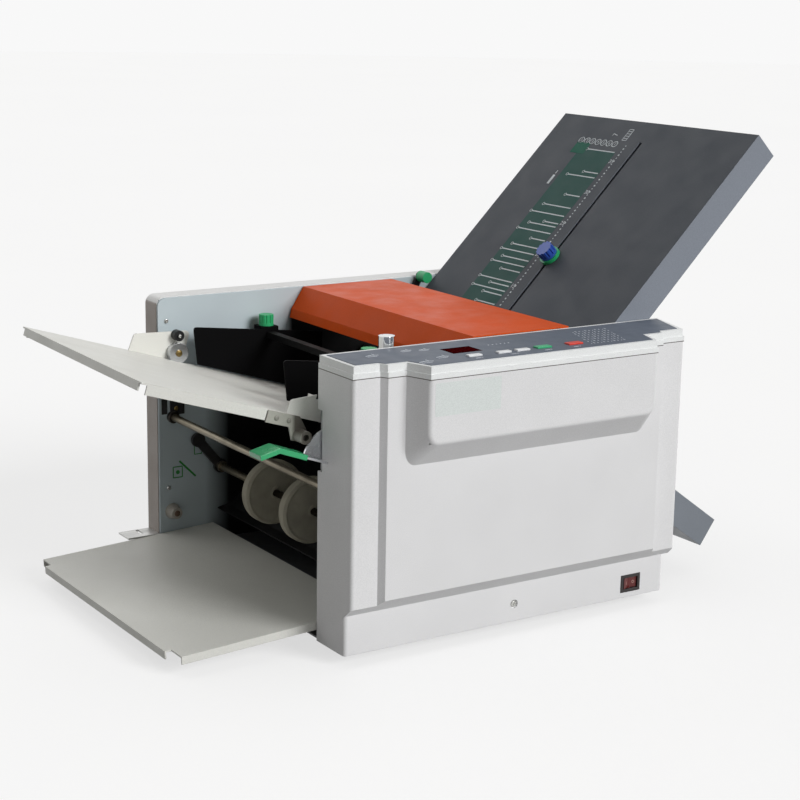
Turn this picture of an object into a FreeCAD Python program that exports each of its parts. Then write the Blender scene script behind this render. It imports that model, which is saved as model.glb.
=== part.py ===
import FreeCAD, Part
import math
import os
import Sketcher
from FreeCAD import Placement, Rotation, Vector

# Paper folding machine, millimetres. X runs from the feed table to the fold plates, Y from the
# control side to the far side, Z up. The floor is Z = 0 and the origin lies under the middle of
# the machine's bounding box.
#
# While it is being worked out, every place is measured from the left end of the near housing
# (X), from the near side frame's inner face (Y) and from the floor (Z).

# Driving dimensions: alias, value, meaning
SIZES = [
    ("inner_width", 340, "between the side frames"),
    ("frame_gauge", 3, "side frame plate"),
    ("foot_height", 12, "rubber feet under the base"),
    ("foot_radius", 12, "rubber foot"),
    ("base_gauge", 2, "base plate"),
    ("sheet_gauge", 1.5, "bent sheet of trays and fold plates"),
    ("thin_gauge", 1.2, "thin sheet of covers, guides and chutes"),
    ("seat_gap", 0.3, "gap beside a loose seat"),
    ("running_gap", 0.05, "radial play of a shaft in its bore"),
    ("overrun", 2, "how far a cut runs past the face it opens"),
    # near housing
    ("housing_length", 397, "front strip, left end to right end"),
    ("housing_back_reach", 17, "how much longer the back edge is than the front strip"),
    ("housing_top", 295, "top of the cap"),
    ("cap_height", 12.8, "moulding on top of the housing"),
    ("cap_ledge", 5.5, "height of the cap's lower band"),
    ("cap_groove", 1.2, "step between the cap's bands"),
    ("housing_wall", 3, "moulded wall"),
    ("strip_depth", 62.4, "corner strips, front face"),
    ("panel_depth", 69.6, "front panel"),
    ("bulge_depth", 96.2, "bulge over the controls"),
    ("base_depth", 51.4, "recessed base"),
    ("strip_length", 29.4, "corner strip"),
    ("strip_ramp", 4.3, "slope from strip to panel"),
    ("bulge_start", 53.7, "foot of the bulge's left slope"),
    ("bulge_ramp", 9.2, "run of the bulge's side slopes"),
    ("bulge_length", 289.5, "foot to foot of the bulge"),
    ("bulge_bevel_top", 221, "front edge of the bulge's bottom bevel"),
    ("bulge_bevel_foot", 196, "where that bevel meets the panel"),
    ("panel_bevel_top", 67.3, "front edge of the panel's bottom bevel"),
    ("base_top", 52, "where that bevel meets the base"),
    ("base_inset", 4, "how much shorter the base is at the right"),
    ("corner_round", 4, "rounded upright corners"),
    ("bulge_round", 5, "rounded edges of the bulge"),
    ("bulge_corner_round", 14, "rounded lower corners of the bulge"),
    ("bulge_slide_share", 0.7, "slide of an inset outline's corner along the bulge's slope"),
    ("notch_width", 8, "slot for the lift cam in the left end"),
    ("notch_bottom", 183, "slot, lower end"),
    ("notch_top", 243, "slot, upper end"),
    # controls
    ("overlay_gauge", 0.5, "printed film"),
    ("overlay_margin", 5.5, "rim left free round the film"),
    ("display_left", 114, "window, left end"),
    ("display_length", 34, "window"),
    ("display_width", 24, "window, front to back"),
    ("display_centre", 45, "window, distance from the inner face"),
    ("button_row", 74, "white keys, distance from the inner face"),
    ("button_length", 15, "white key"),
    ("button_width", 6, "white key"),
    ("button_first_place", 126, "first white key"),
    ("button_second_place", 160, "second white key"),
    ("button_third_place", 182, "third white key"),
    ("start_place", 208, "green key"),
    ("stop_place", 246, "red key"),
    ("start_row", 72, "coloured keys, distance from the inner face"),
    ("start_length", 17, "coloured key"),
    ("start_width", 8, "coloured key"),
    ("button_rise", 1.6, "key above the film"),
    ("button_stem", 9, "key below the film"),
    ("button_gap", 0.4, "play round a key"),
    ("button_collar", 1.5, "collar that keeps a key in the cap"),
    ("button_round", 0.6, "rounded edge of a key"),
    ("button_travel", 1.5, "travel of a key"),
    ("board_margin", 18, "circuit board, past the end keys"),
    ("board_front", 8, "circuit board, in front of the keys"),
    ("board_back", 30, "circuit board, back edge"),
    ("board_gauge", 1.6, "circuit board"),
    ("board_post", 2.5, "post of the circuit board"),
    ("board_switch", 4, "small switch under a key"),
    ("switch_centre", 349.5, "rocker switch, along the base"),
    ("switch_length", 22, "rocker switch frame"),
    ("switch_height", 15.5, "rocker switch frame"),
    ("switch_level", 27.3, "rocker switch, height of its middle"),
    ("switch_rim", 1.6, "frame round the rocker"),
    ("switch_depth", 16, "switch body behind the wall"),
    ("rocker_tilt", 7, "rocker's rest tilt"),
    ("rocker_depth", 9, "rocker, front to back"),
    ("rocker_proud", 2, "rocker's ends past its waist"),
    ("rocker_sink", 2, "rocker's pivot behind the base's face"),
    ("rocker_pin", 1.2, "rocker's pivot pins"),
    ("inlet_width", 28, "mains inlet"),
    ("inlet_height", 21, "mains inlet"),
    ("inlet_inset", 26, "mains inlet, from the side frame"),
    ("inlet_level", 32, "mains inlet, height of its middle"),
    ("inlet_rim", 2.5, "mains inlet, rim"),
    ("inlet_depth", 16, "mains inlet, inside"),
    ("inlet_pin_share", 0.6, "pin's share of the inlet's depth"),
    ("screw_radius", 2.4, "small panel screw head"),
    ("screw_head", 1.6, "small panel screw head"),
    ("screw_recess", 4.5, "recess round the base screw"),
    ("base_screw_radius", 3.4, "head of the base screw"),
    ("base_screw_place", 199, "base screw, along the base"),
    ("base_screw_level", 30, "base screw, height"),
    ("screw_left", 5.7, "upper screw on the far frame"),
    ("screw_high", 270.7, "upper screw on the far frame"),
    ("screw_low_left", 6.7, "lower screw on the far frame"),
    ("screw_low", 81.3, "lower screw on the far frame"),
    ("frame_step", 8, "near side frame past the housing's front strip"),
    # far cover
    ("cover_left", -5, "left end of the far cover"),
    ("cover_depth", 26.5, "far cover, front to back"),
    ("cover_top", 297, "far cover"),
    ("cover_wall", 3, "far cover wall"),
    ("cover_round", 10, "far cover's top corners"),
    ("frame_inset", 1, "far side frame inside the cover's outline"),
    ("louvre_length", 40, "cooling slot"),
    ("louvre_width", 4, "cooling slot"),
    ("louvre_level", 60, "lowest cooling slot"),
    ("louvre_place", 300, "cooling slots"),
    ("louvre_pitch", 9, "from one cooling slot to the next"),
    ("foot_inset", 45, "rubber foot, from the edges of the base plate"),
    ("foot_front", 10, "front feet, behind the side frame"),
    ("foot_taper_share", 0.85, "foot's radius at the floor"),
    # feed table
    ("feed_tilt", 17, "slope of the feed table, degrees"),
    ("feed_left", -177, "outer edge of the feed table"),
    ("feed_level", 285.5, "height of that edge"),
    ("feed_length", 394, "feed table, along its slope"),
    ("feed_skew", 16.5, "outer edge drawn in at the far side"),
    ("feed_margin", 8, "side gap of the feed table"),
    ("feed_lip", 8.5, "outer flange"),
    ("feed_flange", 10.5, "side flange"),
    ("feed_flange_length", 133, "side flange, along the slope"),
    ("feed_corner", 6, "notch between two flanges"),
    ("ear_start", 153.5, "near ear, along the slope"),
    ("ear_length", 28, "near ear"),
    ("ear_low", 13.3, "near ear, outer height"),
    ("ear_high", 23.4, "near ear, inner height"),
    ("far_ear_start", 139.5, "far ear, along the slope"),
    ("far_ear_low", 18.5, "far ear, outer height"),
    ("far_ear_high", 36, "far ear, inner height"),
    ("ear_round_share", 0.3, "rounded corners of the ears"),
    ("pivot_place", 12.7, "feed table pivot"),
    ("pivot_level", 237, "feed table pivot"),
    ("pivot_radius", 4, "pivot stud"),
    ("pivot_disc_radius", 11.5, "aluminium disc on the stud"),
    ("pivot_disc_width", 7, "aluminium disc"),
    ("pivot_disc_gap", 0.5, "disc to ear"),
    ("ear_roller_radius", 6, "black roller on the far ear"),
    ("ear_roller_width", 9, "black roller on the far ear"),
    ("ear_roller_rise", 19.5, "black roller above the pivot"),
    ("bracket_start", 133.5, "hinge bracket, along the slope"),
    ("bracket_length", 35, "hinge bracket"),
    ("bracket_drop", 12, "hinge bracket"),
    ("bracket_hole", 2, "hole in the hinge bracket"),
    ("follower_radius", 6.5, "boss that rides on the cam"),
    ("follower_angle", 140.1, "its direction from the cam's axis, degrees"),
    ("follower_socket_share", 0.5, "socket in the boss"),
    # lift lever
    ("cam_place", 12, "cam axis"),
    ("cam_level", 190, "cam axis"),
    ("cam_radius", 34.5, "quarter sector"),
    ("cam_gauge", 2, "cam plate"),
    ("cam_offset", 4, "cam plate, from the side frame"),
    ("cam_hub", 7, "hub of the cam"),
    ("cam_stud", 4, "stud that the cam turns on"),
    ("cam_throw", 3.35, "centre of the cam's arc, off the axis"),
    ("cam_throw_angle", 36, "its direction, degrees"),
    ("cam_flange_slope", 20, "flange, rising to the left, degrees"),
    ("cam_flange_start", 19, "flange, from the axis"),
    ("cam_flange_length", 25, "flange"),
    ("cam_flange_width", 25, "flange, towards the front"),
    ("cam_flange_share", 0.9, "flange's width at its inner end"),
    ("grip_gauge", 5, "green grip"),
    ("grip_arm", 30, "grip, straight part"),
    ("grip_end", 20, "grip, bent end"),
    ("grip_end_angle", 213, "bent end, degrees"),
    ("grip_width", 22, "grip, front to back"),
    # side guides
    ("rail_place", 121, "guide rail"),
    ("rail_level", 250, "guide rail"),
    ("rail_width", 9, "guide rail"),
    ("rail_height", 7, "guide rail"),
    ("rail_play", 0.15, "guide block on the rail"),
    ("guide_gauge", 2, "side guide"),
    ("guide_left", 26, "side guide, top left corner"),
    ("guide_left_level", 266.4, "side guide, top left corner"),
    ("guide_right", 188, "side guide, top right corner"),
    ("guide_right_level", 247.6, "side guide, top right corner"),
    ("guide_taper", 4.5, "side guide, shorter at its lower edge"),
    ("guide_round", 3, "side guide, rounded top left corner"),
    ("guide_clear", 2.5, "lower edge above the feed table"),
    ("guide_far", 313, "far guide"),
    ("guide_near", 113, "near guide"),
    ("guide_block", 20, "block on the rail"),
    ("guide_block_depth", 20, "block, along the rail"),
    ("guide_knob_radius", 8.2, "green knob"),
    ("guide_knob_height", 12.5, "green knob"),
    ("knob_flute_share", 0.12, "flutes round a knob"),
    ("knob_brim_share", 0.25, "plain brim under a knob's flutes"),
    # pressure knob
    ("pressure_place", 83, "chrome knob"),
    ("pressure_inset", 12, "chrome knob, from the side frame"),
    ("pressure_radius", 8, "chrome knob"),
    ("pressure_height", 14, "chrome knob"),
    ("pressure_top", 304, "chrome knob"),
    ("pressure_stem", 3, "its threaded stem"),
    ("pressure_slit", 1.5, "slits in the chrome knob"),
    ("pressure_bracket_level", 262, "bracket that carries the stem"),
    # roller cover
    ("hood_left", 160, "orange cover, lower front edge"),
    ("hood_level", 262, "orange cover, lower front edge"),
    ("hood_lip", 10.2, "orange cover, upright lip"),
    ("hood_lip_angle", 79, "lip, degrees"),
    ("hood_front", 28.9, "orange cover, sloped front"),
    ("hood_front_angle", 57, "sloped front, degrees"),
    ("hood_deck", 119, "orange cover, top"),
    ("hood_back", 8, "orange cover, back flange"),
    ("hood_gap", 1.2, "between the cover and the side frames"),
    ("hood_pin_drop", 22, "hinge pin under the top"),
    ("hood_pin_inset", 5, "hinge pin, from the back of the top"),
    ("hood_pin_radius", 2.5, "hinge pin"),
    # fold rollers
    ("roller_place", 288, "main fold roller"),
    ("roller_level", 190, "main fold roller"),
    ("roller_pitch", 30, "between the axes of two rollers"),
    ("roller_nip", 0.3, "gap at the nip"),
    ("nip_one_angle", 141, "from the main roller to roller a, degrees"),
    ("nip_two_angle", 46, "from the main roller to roller c, degrees"),
    ("nip_three_angle", -90, "from the main roller to roller d, degrees"),
    ("roller_shaft", 6, "roller shaft"),
    ("roller_end_gap", 5, "roller face to side frame"),
    ("roller_groove", 1.4, "grooves in the rollers"),
    ("roller_groove_width", 12, "grooves in the rollers"),
    ("bush_wall", 3, "bearing bush"),
    ("bush_flange", 3, "bearing flange, wider than the bush"),
    ("bush_flange_width", 1.5, "bearing flange"),
    ("gear_teeth", 20, "teeth on each roller gear"),
    ("gear_width", 8, "roller gear"),
    ("gear_offset", 7, "roller gear, from the side frame"),
    ("gear_backlash", 0.5, "play between teeth"),
    ("gear_flank", 20, "tooth flank, degrees"),
    # drive
    ("pulley_width", 8, "belt pulley"),
    ("pulley_gap", 2, "pulley to gear"),
    ("main_pulley_radius", 26, "pulley on the main roller"),
    ("motor_pulley_radius", 10, "pulley on the motor"),
    ("belt_gauge", 1.5, "belts"),
    ("belt_width", 6, "belts"),
    ("motor_place", 332, "motor axis"),
    ("motor_level", 108, "motor axis"),
    ("motor_radius", 32, "motor"),
    ("motor_length", 26, "motor"),
    ("motor_shaft", 4, "motor shaft"),
    ("motor_cap_share", 0.5, "cap at the motor's end"),
    ("pillar_circle_share", 0.8, "circle of the motor's pillars"),
    ("pillar_radius", 4, "pillar that holds the motor"),
    ("feed_pulley_radius", 14, "pulley on the feed roller"),
    ("feed_drive_pulley", 10, "pulley on roller a"),
    # feed roller
    ("feed_roller_radius", 20, "feed roller tyre"),
    ("feed_roller_width", 28, "feed roller tyre"),
    ("feed_roller_reach", 6, "feed roller, back from the table's end"),
    ("feed_roller_clear", 1.5, "tyre above the separator"),
    ("feed_roller_spread", 35, "tyre's middle from the centre line"),
    ("feed_hub", 9, "hub of a tyre"),
    ("separator_gap", 1, "separator behind the feed table"),
    ("separator_length", 16, "separator, along the slope"),
    ("separator_pad", 2, "rubber of the separator"),
    ("separator_height", 10, "bar that carries the rubber"),
    ("entry_left", 218, "paper guide to the first nip"),
    ("entry_level", 163, "its lower edge"),
    ("entry_flat", 4, "its flat start"),
    ("entry_rise", 50, "its slope"),
    ("entry_rise_angle", 27, "its slope, degrees"),
    ("entry_end", 5, "its end"),
    ("entry_end_angle", 45, "its end, degrees"),
    ("chute_right", 270, "delivery chute under the rollers"),
    ("chute_level", 172, "its upper edge"),
    ("chute_length", 225, "its slope"),
    ("chute_slope", 32, "its slope, degrees"),
    ("chute_lip", 12, "its lip"),
    ("chute_lip_slope", 12, "its lip, degrees"),
    # stacker
    ("stacker_place", 67.5, "stacker shaft"),
    ("stacker_level", 101, "stacker shaft"),
    ("stacker_pivot_place", 40, "pivot of the stacker arms"),
    ("stacker_pivot_level", 134, "pivot of the stacker arms"),
    ("stacker_shaft_radius", 4, "stacker shaft"),
    ("disc_radius", 35, "stacker disc"),
    ("disc_width", 14.5, "stacker disc"),
    ("disc_spread", 40, "disc centre from the middle"),
    ("disc_dish", 0.6, "dish in a disc's faces"),
    ("arm_width", 16, "stacker arm"),
    ("arm_gauge", 4, "stacker arm"),
    ("arm_inset", 5, "stacker arm, from the side frame"),
    ("arm_waist_share", 0.12, "half width of the arm between its eyes, to its length"),
    ("disc_hub", 6, "hub of a stacker disc"),
    ("disc_edge", 2.5, "rounded rim of a stacker disc"),
    ("cross_rod_place", 12, "brown rod between the sides"),
    ("cross_rod_level", 162.5, "brown rod between the sides"),
    ("cross_rod_radius", 4, "brown rod between the sides"),
    # upper fold plate
    ("upper_place", 270, "upper plate's datum"),
    ("upper_level", 207, "upper plate's datum"),
    ("upper_tilt", 45, "upper plate, degrees"),
    ("plate_gap", 1.5, "between a fold plate and the side frames"),
    ("upper_mouth", 14, "lower edge of the top sheet, along the slope"),
    ("upper_body", 48, "where the side flanges start"),
    ("upper_length", 390, "upper plate, from its datum"),
    ("plate_depth", 33, "side flanges of both plates"),
    ("channel", 5.3, "paper gap in a plate"),
    ("bed_lip", 8, "side lip of the upper plate's bed"),
    ("slot_width", 5, "slot for the stop"),
    ("upper_slot_start", 62, "slot, lower end"),
    ("upper_slot_end", 360, "slot, upper end"),
    ("upper_stop_place", 185, "stop, along the slope"),
    ("stop_length", 9, "stop bar, along the slope"),
    ("stop_reach", 150, "stop bar, to each side of the slot"),
    ("stop_play", 0.5, "stop bar, play in the paper gap"),
    ("knob_radius", 10, "stop knob"),
    ("knob_height", 11, "stop knob"),
    ("ring_radius", 12, "green ring under the knob"),
    ("ring_height", 4, "green ring under the knob"),
    # lower fold plate
    ("lower_place", 306, "lower plate's datum"),
    ("lower_level", 185.4, "lower plate's datum"),
    ("lower_tilt", 35.5, "lower plate, degrees"),
    ("lower_body", 17, "where its sides start"),
    ("lower_length", 243, "lower plate, from its datum"),
    ("lower_stop_place", 130, "stop, along the slope"),
    ("lower_slot_start", 40, "slot, upper end"),
    ("lower_slot_end", 225, "slot, lower end"),
    ("upper_stud_first", 60, "first stud under the upper plate"),
    ("upper_stud_last", 115, "last stud under the upper plate"),
    ("lower_stud_first", 30, "first stud under the lower plate"),
    ("lower_stud_last", 95, "last stud under the lower plate"),
    ("stud_radius", 4, "studs that carry the plates"),
    # latch
    ("latch_place", 322, "latch pivot"),
    ("latch_level", 272, "latch pivot"),
    ("latch_reach", 14, "knob, right of the pivot"),
    ("latch_rise", 25, "knob, above the pivot"),
    ("latch_knob_radius", 6.5, "green knob of the latch"),
    ("latch_knob_width", 15, "green knob of the latch"),
    ("latch_gauge", 3, "latch arm"),
    ("latch_arm", 10, "latch arm"),
    ("latch_waist_share", 0.15, "half width of the arm between its ends, to its reach"),
    ("latch_pin", 3, "pin of the latch"),
    # delivery tray
    ("tray_tilt", 3.2, "delivery tray, degrees"),
    ("tray_left", -151, "outer edge of the delivery tray"),
    ("tray_level", 22, "height of that edge"),
    ("tray_length", 212, "delivery tray"),
    ("tray_flange", 8, "delivery tray's side flange"),
    ("tray_notch", 7, "step at its outer corners"),
    ("tray_notch_width", 22, "step at its outer corners"),
    # inside
    ("tie_radius", 5, "tie bars"),
    ("tie_left", 100, "left tie bar"),
    ("tie_low", 40, "height of the low tie bars"),
    ("tie_right", 375, "right tie bar"),
    ("tie_high", 195, "height of the right tie bar"),
    ("supply_left", 160, "power supply"),
    ("supply_front", 100, "power supply"),
    ("supply_length", 110, "power supply"),
    ("supply_depth", 140, "power supply"),
    ("supply_height", 45, "power supply"),
    ("supply_ear", 8, "fixing ear of the power supply"),
    ("peg_radius", 9, "cone boss, foot"),
    ("peg_tip_share", 0.7, "cone boss, radius at its tip"),
    ("peg_length", 12, "cone boss"),
    ("peg_level", 54, "cone boss"),
    ("peg_place", 11, "cone boss"),
    ("tab_length", 38, "slotted tab"),
    ("tab_level", 30, "slotted tab"),
    ("tab_margin", 3, "slotted tab short of the cover's face"),
    ("tab_slot", 4, "slot in the tab"),
    ("tab_slot_share", 0.45, "slot's place along the tab"),
    ("tab_foot", 6, "turned-down end of the tab"),
]


class Size:
    """A value together with the expression that works it out from the sheet."""

    def __init__(self, value, text):
        self.value = value
        self.text = text

    def __add__(self, other):
        other = sized(other)
        return Size(self.value + other.value, f"({self.text} + {other.text})")

    def __sub__(self, other):
        other = sized(other)
        return Size(self.value - other.value, f"({self.text} - {other.text})")

    def __mul__(self, other):
        other = sized(other)
        return Size(self.value * other.value, f"({self.text} * {other.text})")

    def __truediv__(self, other):
        other = sized(other)
        return Size(self.value / other.value, f"({self.text} / {other.text})")

    def __neg__(self):
        return Size(-self.value, f"(-1 * {self.text})")

    __radd__ = __add__
    __rmul__ = __mul__


def sized(number):
    """A plain number as a Size."""
    return number if isinstance(number, Size) else Size(float(number), repr(float(number)))


def sine(angle):
    return Size(math.sin(math.radians(angle.value)), f"sin({angle.text})")


def cosine(angle):
    return Size(math.cos(math.radians(angle.value)), f"cos({angle.text})")


def tangent(angle):
    return Size(math.tan(math.radians(angle.value)), f"tan({angle.text})")


def square_root(size):
    return Size(math.sqrt(size.value), f"sqrt({size.text})")


def rise_angle(rise, run):
    return Size(math.degrees(math.atan(rise.value / run.value)), f"atan({rise.text} / {run.text})")


ZERO = Size(0.0, "0")
QUARTER_TURN = sized(90)
HALF_TURN = sized(180)

doc = FreeCAD.newDocument("paper_folding_machine")
sheet = doc.addObject("Spreadsheet::Sheet", "sizes")


class Sizes:
    """The driving dimensions, one attribute for each alias."""


s = Sizes()
for row, (alias, value, meaning) in enumerate(SIZES, start=1):
    sheet.set(f"A{row}", alias)
    sheet.set(f"B{row}", str(value))
    sheet.setAlias(f"B{row}", alias)
    sheet.set(f"C{row}", meaning)
    setattr(s, alias, Size(float(value), f"sizes.{alias}"))
doc.recompute()

# Places worked out from the driving dimensions
centre_line = s.inner_width / 2
cap_base = s.housing_top - s.cap_height
base_right = s.housing_length - s.base_inset
base_plate_top = s.foot_height + s.base_gauge
plate_width = s.inner_width - 2 * s.plate_gap
roller_radius = (s.roller_pitch - s.roller_nip) / 2

# The lowest corner of the feed table's lip and the rear corner of the upper plate are the ends
# of the machine in X, the bulge and the far cover its ends in Y
left_end = s.feed_left - s.feed_lip * sine(s.feed_tilt)
right_end = (s.upper_place + s.upper_length * cosine(s.upper_tilt)
             + s.plate_depth * sine(s.upper_tilt))
far_end = s.inner_width + s.frame_gauge + s.cover_depth + s.screw_head
middle_x = (left_end + right_end) / 2
middle_y = (far_end - s.bulge_depth) / 2

parts = {}


def keep(item, label):
    """Registers a finished sub-part under the name of its node."""
    item.Label = label
    parts[label] = item
    return item


def stand(solid, x, y, z, axis=None, angle=ZERO):
    """Puts a piece of a group at a place in the machine, turned about one axis."""
    x, y, z, angle = sized(x), sized(y), sized(z), sized(angle)
    turn = Rotation(axis, angle.value) if axis else Rotation()
    solid.Placement = Placement(Vector(x.value, y.value, z.value), turn)
    solid.setExpression("Placement.Base.x", x.text)
    solid.setExpression("Placement.Base.y", y.text)
    solid.setExpression("Placement.Base.z", z.text)
    if axis:
        solid.setExpression("Placement.Rotation.Angle", angle.text)
    return solid


def place(item, x, y, z, axis=None, angle=ZERO):
    """Puts a sub-part at its place in the machine, seen from the middle of its floor."""
    return stand(item, sized(x) - middle_x, sized(y) - middle_y, z, axis, angle)


ALONG_Y = Vector(0, 1, 0)
PLANES = {"top": ("XY_Plane", 1), "side": ("XZ_Plane", -1), "end": ("YZ_Plane", 1)}


class Ring:
    """A circle in a sketch."""

    def __init__(self, x, y, radius):
        self.x, self.y, self.radius = sized(x), sized(y), sized(radius)


def origin_feature(body, role):
    return [item for item in body.Origin.OriginFeatures if item.Role == role][0]


def new_body(label):
    return keep(doc.addObject("PartDesign::Body", label), label)


def pin_point(sketch, geometry, point, x, y):
    """Fixes one point of a sketch's geometry at x, y."""
    for kind, size in (("DistanceX", x), ("DistanceY", y)):
        number = sketch.addConstraint(Sketcher.Constraint(kind, -1, 1, geometry, point, size.value))
        sketch.setExpression(f"Constraints[{number}]", size.text)


def draw(body, plane, loops, lift=ZERO):
    """A sketch on one of the body's planes: closed loops of corners, and rings."""
    role, sign = PLANES[plane]
    sketch = body.newObject("Sketcher::SketchObject", f"{body.Name}_{plane}_sketch")
    sketch.AttachmentSupport = [(origin_feature(body, role), "")]
    sketch.MapMode = "FlatFace"
    lift = sized(lift)
    if lift is not ZERO:
        sketch.setExpression("AttachmentOffset.Base.z", (sign * lift).text)
    for loop in loops:
        if isinstance(loop, Ring):
            circle = Part.Circle(Vector(loop.x.value, loop.y.value, 0), Vector(0, 0, 1), loop.radius.value)
            geometry = sketch.addGeometry(circle, False)
            number = sketch.addConstraint(Sketcher.Constraint("Radius", geometry, loop.radius.value))
            sketch.setExpression(f"Constraints[{number}]", loop.radius.text)
            pin_point(sketch, geometry, 3, loop.x, loop.y)
            continue
        corners = [(sized(x), sized(y)) for x, y in loop]
        ends = corners[1:] + corners[:1]
        lines = [Part.LineSegment(Vector(a.value, b.value, 0), Vector(c.value, d.value, 0))
                 for (a, b), (c, d) in zip(corners, ends)]
        first = sketch.addGeometry(lines, False)[0]
        count = len(corners)
        for step in range(count):
            joined = Sketcher.Constraint("Coincident", first + step, 2, first + (step + 1) % count, 1)
            sketch.addConstraint(joined)
        for step, (x, y) in enumerate(corners):
            pin_point(sketch, first + step, 1, x, y)
    return sketch


def pad(body, plane, loops, depth, lift=ZERO):
    """Adds a slab that rises from lift by depth along the plane's own +X, +Y or +Z."""
    sketch = draw(body, plane, loops, lift)
    slab = body.newObject("PartDesign::Pad", f"{body.Name}_pad")
    slab.Profile = sketch
    slab.Reversed = plane == "side"
    slab.setExpression("Length", sized(depth).text)
    return slab


def cut(body, plane, loops, depth, lift=ZERO):
    """Cuts a slab out, in the same direction as pad."""
    sketch = draw(body, plane, loops, lift)
    slab = body.newObject("PartDesign::Pocket", f"{body.Name}_pocket")
    slab.Profile = sketch
    slab.Reversed = plane != "side"
    slab.setExpression("Length", sized(depth).text)
    return slab


def revolve(body, loops):
    """Turns a profile, drawn as distance along Y and radius, about the body's Y axis."""
    sketch = draw(body, "end", loops)
    solid = body.newObject("PartDesign::Revolution", f"{body.Name}_revolution")
    solid.Profile = sketch
    solid.ReferenceAxis = (sketch, ["H_Axis"])
    solid.Angle = 360
    return solid


def box(low, high):
    """The four corners of a rectangle."""
    return [(low[0], low[1]), (high[0], low[1]), (high[0], high[1]), (low[0], high[1])]


def near(value, target):
    return abs(value - sized(target).value) < 1e-4


def at_spot(point, spot):
    return all(want is None or near(point[axis], want) for axis, want in enumerate(spot))


def edges_through(body, spots):
    """Names of the straight edges of a body that run through one of the spots. A spot is either
    x, y, z with None along the edge, or the two ends of a slanting edge."""
    doc.recompute()
    names = []
    for number, edge in enumerate(body.Shape.Edges, start=1):
        ends = [vertex.Point for vertex in edge.Vertexes]
        for spot in spots:
            if len(spot) == 2:
                fits = all(any(at_spot(point, end) for point in ends) for end in spot)
            else:
                fits = all(at_spot(point, spot) for point in ends)
            if len(ends) == 2 and fits:
                names.append(f"Edge{number}")
                break
    return names


def round_edges(body, radius, spots):
    """Rounds the edges of a body, while its placement is still at the origin."""
    names, base = edges_through(body, spots), body.Tip
    fillet = body.newObject("PartDesign::Fillet", f"{body.Name}_fillet")
    fillet.Base = (base, names)
    fillet.setExpression("Radius", sized(radius).text)
    return fillet


def folded(start, segments, gauge):
    """Outline of a bent sheet: its outer face runs from start along segments of length and angle,
    and the gauge lies to the right of that path."""
    x, z = sized(start[0]), sized(start[1])
    outer = [(x, z)]
    for length, angle in segments:
        x, z = x + length * cosine(angle), z + length * sine(angle)
        outer.append((x, z))
    angles = [angle for length, angle in segments]
    inner = []
    for number, (x, z) in enumerate(outer):
        before = angles[max(number - 1, 0)]
        after = angles[min(number, len(angles) - 1)]
        middle, half = (before + after) / 2, (after - before) / 2
        inner.append((x + gauge * sine(middle) / cosine(half), z - gauge * cosine(middle) / cosine(half)))
    return outer + inner[::-1]


def group(label, solids):
    """Separate solids in one node."""
    holder = keep(doc.addObject("Part::Compound", label), label)
    holder.Links = solids
    place(holder, 0, 0, 0)
    return holder


# Near side: frame, moulded housing and controls


def plan_outline(margin):
    """Plan of the near housing with its bulge, drawn in all round by a margin."""
    slide = margin * s.bulge_slide_share
    strip, panel, bulge = margin - s.strip_depth, margin - s.panel_depth, margin - s.bulge_depth
    right = s.housing_length
    bulge_end = s.bulge_start + s.bulge_length
    return [(margin, -margin), (margin, strip), (s.strip_length, strip),
            (s.strip_length + s.strip_ramp, panel), (s.bulge_start + slide, panel),
            (s.bulge_start + s.bulge_ramp + slide, bulge), (bulge_end - s.bulge_ramp - slide, bulge),
            (bulge_end - slide, panel), (right - s.strip_length - s.strip_ramp, panel),
            (right - s.strip_length, strip), (right - margin, strip),
            (right + s.housing_back_reach - margin, -margin)]


def open_plan(margin):
    """The same plan, open at the back."""
    outline = plan_outline(margin)
    outline[0] = (outline[0][0], ZERO)
    outline[-1] = (outline[-1][0], ZERO)
    return outline


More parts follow.
